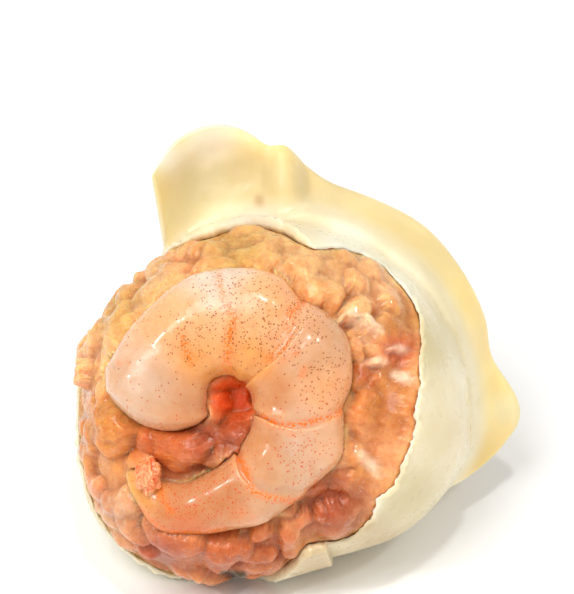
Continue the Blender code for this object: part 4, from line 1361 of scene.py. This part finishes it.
def chicken_material():
    made, tree, place, tint = new_material("wet_chicken")
    clouds = between(tree, noise_node(tree, place, 1.3 * MM, 4, 0.6, 0.4), 0.3, 0.7)
    colour = mottled(tree, tint, clouds, *CHICKEN_SHADES)
    strands = noise_node(tree, place, 0.5 * MM, 5, 0.65, 1.2)
    pale = between(tree, strands, 0.58, 0.74, 0.0, 0.42)
    coarse = noise_node(tree, place, 1.1 * MM, 3, 0.55, 0.8)
    fine = noise_node(tree, place, 0.3 * MM, 3, 0.55, 0.4)
    set_shader(
        made, Base_Color=mixed(tree, pale, colour, PALE_STRANDS),
        Roughness=between(tree, noise_node(tree, place, 0.7 * MM, 3), 0.35, 0.65, 0.08, 0.30),
        Normal=bump_chain(tree, (coarse, 0.28 * MM), (fine, 0.07 * MM)),
        Subsurface_Weight=1.0, Subsurface_Scale=1.6 * MM, Subsurface_Radius=(1.0, 0.42, 0.18),
        Coat_Weight=0.35, Coat_Roughness=0.04, IOR=1.34, Specular_Tint=WARM_SHINE,
    )
    return made


def prawn_material():
    made, tree, place, tint = new_material("cooked_prawn")
    clouds = between(tree, noise_node(tree, place, 2.4 * MM, 4, 0.6, 0.5), 0.3, 0.7)
    colour = mottled(tree, tint, clouds, *PRAWN_SHADES)
    breakup = between(tree, noise_node(tree, place, 0.34 * MM, 3, 0.7), 0.38, 0.62, 0.15, 1.0)
    dusty = maths(tree, "MULTIPLY", painted(tree, "pigment"), breakup)
    dots = between(tree, cells_node(tree, place, 0.26 * MM), 0.60, 0.40, 0.18, 1.0)
    dotted = maths(tree, "MULTIPLY", painted(tree, "lines"), dots)
    for share in (dusty, dotted):
        colour = mixed(tree, share, colour, opaque(PIGMENT))
    marked = maths(tree, "MAXIMUM", dusty, dotted)
    height = add_node(tree, "ShaderNodeSeparateXYZ", {0: place}, output=2)
    speck = mixed(tree, between(tree, height, -3 * MM, 4 * MM), opaque(LOW_SPECK), opaque(HIGH_SPECK))
    specks = painted(tree, "specks")
    for size, largest, share in SPECK_SIZES:
        chance = cells_node(tree, place, size, output=1)
        chance = add_node(tree, "ShaderNodeSeparateColor", {0: chance})
        shown = maths(tree, "LESS_THAN", chance, maths(tree, "MULTIPLY", specks, share))
        dot = between(tree, cells_node(tree, place, size), largest, 0.55 * largest, 0.0, 0.85)
        dot = maths(tree, "MULTIPLY", shown, dot)
        marked = maths(tree, "MAXIMUM", marked, dot)
        colour = mixed(tree, dot, colour, speck)
    soft = noise_node(tree, place, 1.3 * MM, 3, 0.5)
    fine = noise_node(tree, place, 0.25 * MM, 3, 0.55)
    set_shader(
        made, Base_Color=colour,
        Roughness=between(tree, noise_node(tree, place, 1.1 * MM, 3), 0.35, 0.7, 0.20, 0.38),
        Normal=bump_chain(tree, (soft, 0.08 * MM), (fine, 0.014 * MM)),
        Subsurface_Weight=between(tree, marked, 0, 1, 1.0, 0.1),
        Subsurface_Scale=2.4 * MM, Subsurface_Radius=(1.0, 0.55, 0.32),
        Coat_Weight=0.4, Coat_Roughness=0.14, IOR=1.34,
    )
    return made


def shell_material():
    made, tree, place, tint = new_material("tail_shell")
    streak = noise_node(tree, place, 0.5 * MM, 4, 0.7, 0.8)
    streaks = between(tree, streak, 0.40, 0.58)
    colour = mixed(tree, streaks, opaque(DARK_STREAK), opaque(PALE_STREAK))
    set_shader(
        made, Base_Color=mixed(tree, 0.45, colour, tint),
        Roughness=between(tree, streak, 0.3, 0.7, 0.18, 0.4),
        Normal=bump_chain(tree, (streak, 0.12 * MM)),
        Subsurface_Weight=1.0, Subsurface_Scale=0.8 * MM, Subsurface_Radius=(1.0, 0.4, 0.2),
        Coat_Weight=0.6, Coat_Roughness=0.12, IOR=1.45,
    )
    return made


def floor_material():
    made, tree, _, _ = new_material("pale_floor")
    place = add_node(tree, "ShaderNodeTexCoord", {}, output=3)
    clouds = between(tree, noise_node(tree, place, 30 * MM, 2), 0.3, 0.7)
    set_shader(made, Base_Color=mixed(tree, clouds, *FLOOR_TONES), Roughness=0.7)
    return made


# Floor, light and camera


def make_floor(finish):
    corners = np.array([(-1, -1, 0), (1, -1, 0), (1, 1, 0), (-1, 1, 0)]) * FLOOR_HALF_WIDTH
    return mesh_object("floor", corners, [(0, 1, 2, 3)], finish)


def add_light(name, place, size, power):
    lamp = bpy.data.lights.new(name, "AREA")
    lamp.shape = "DISK"
    lamp.size = size
    lamp.energy = power
    made = bpy.data.objects.new(name, lamp)
    made.location = place
    made.rotation_euler = (LIGHT_AIM - Vector(place)).to_track_quat("-Z", "Y").to_euler()
    bpy.context.scene.collection.objects.link(made)


def light_scene():
    scene = bpy.context.scene
    scene.world = bpy.data.worlds.new("studio")
    scene.world.use_nodes = True
    background = scene.world.node_tree.nodes["Background"]
    background.inputs["Color"].default_value = SKY_COLOUR
    background.inputs["Strength"].default_value = SKY_STRENGTH
    for lamp in LAMPS:
        add_light(*lamp)
    scene.view_settings.view_transform = "Standard"


def place_camera():
    right = Vector((1, 0, 0))
    up = Vector((0, math.sin(FACE_LEAN), math.cos(FACE_LEAN)))
    back = Vector((0, -math.cos(FACE_LEAN), math.sin(FACE_LEAN)))
    camera = bpy.data.objects.new("camera", bpy.data.cameras.new("camera"))
    place = BALL_PLACE + CAMERA_SHIFT[0] * right + CAMERA_SHIFT[1] * up + CAMERA_DISTANCE * back
    turn = Matrix((right, up, back)).transposed().to_4x4()
    camera.matrix_world = Matrix.Translation(place) @ turn
    camera.data.lens = LENS
    camera.data.sensor_width = SENSOR_WIDTH
    camera.data.clip_start = 0.01
    bpy.context.scene.collection.objects.link(camera)
    bpy.context.scene.camera = camera


def main():
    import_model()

    prawn = make_prawn(prawn_material())
    tail = make_tail_bit(shell_material())
    chicken = make_meat(chicken_material(), prawn)
    dough = make_dough(dough_material())
    for piece in (prawn, tail, chicken, dough):
        stand_up(piece)
        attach(piece, "root")
    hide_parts("prawn")
    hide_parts("chicken_filling")
    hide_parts("wrapper")

    make_floor(floor_material())
    light_scene()
    place_camera()
    bpy.context.view_layer.update()


main()
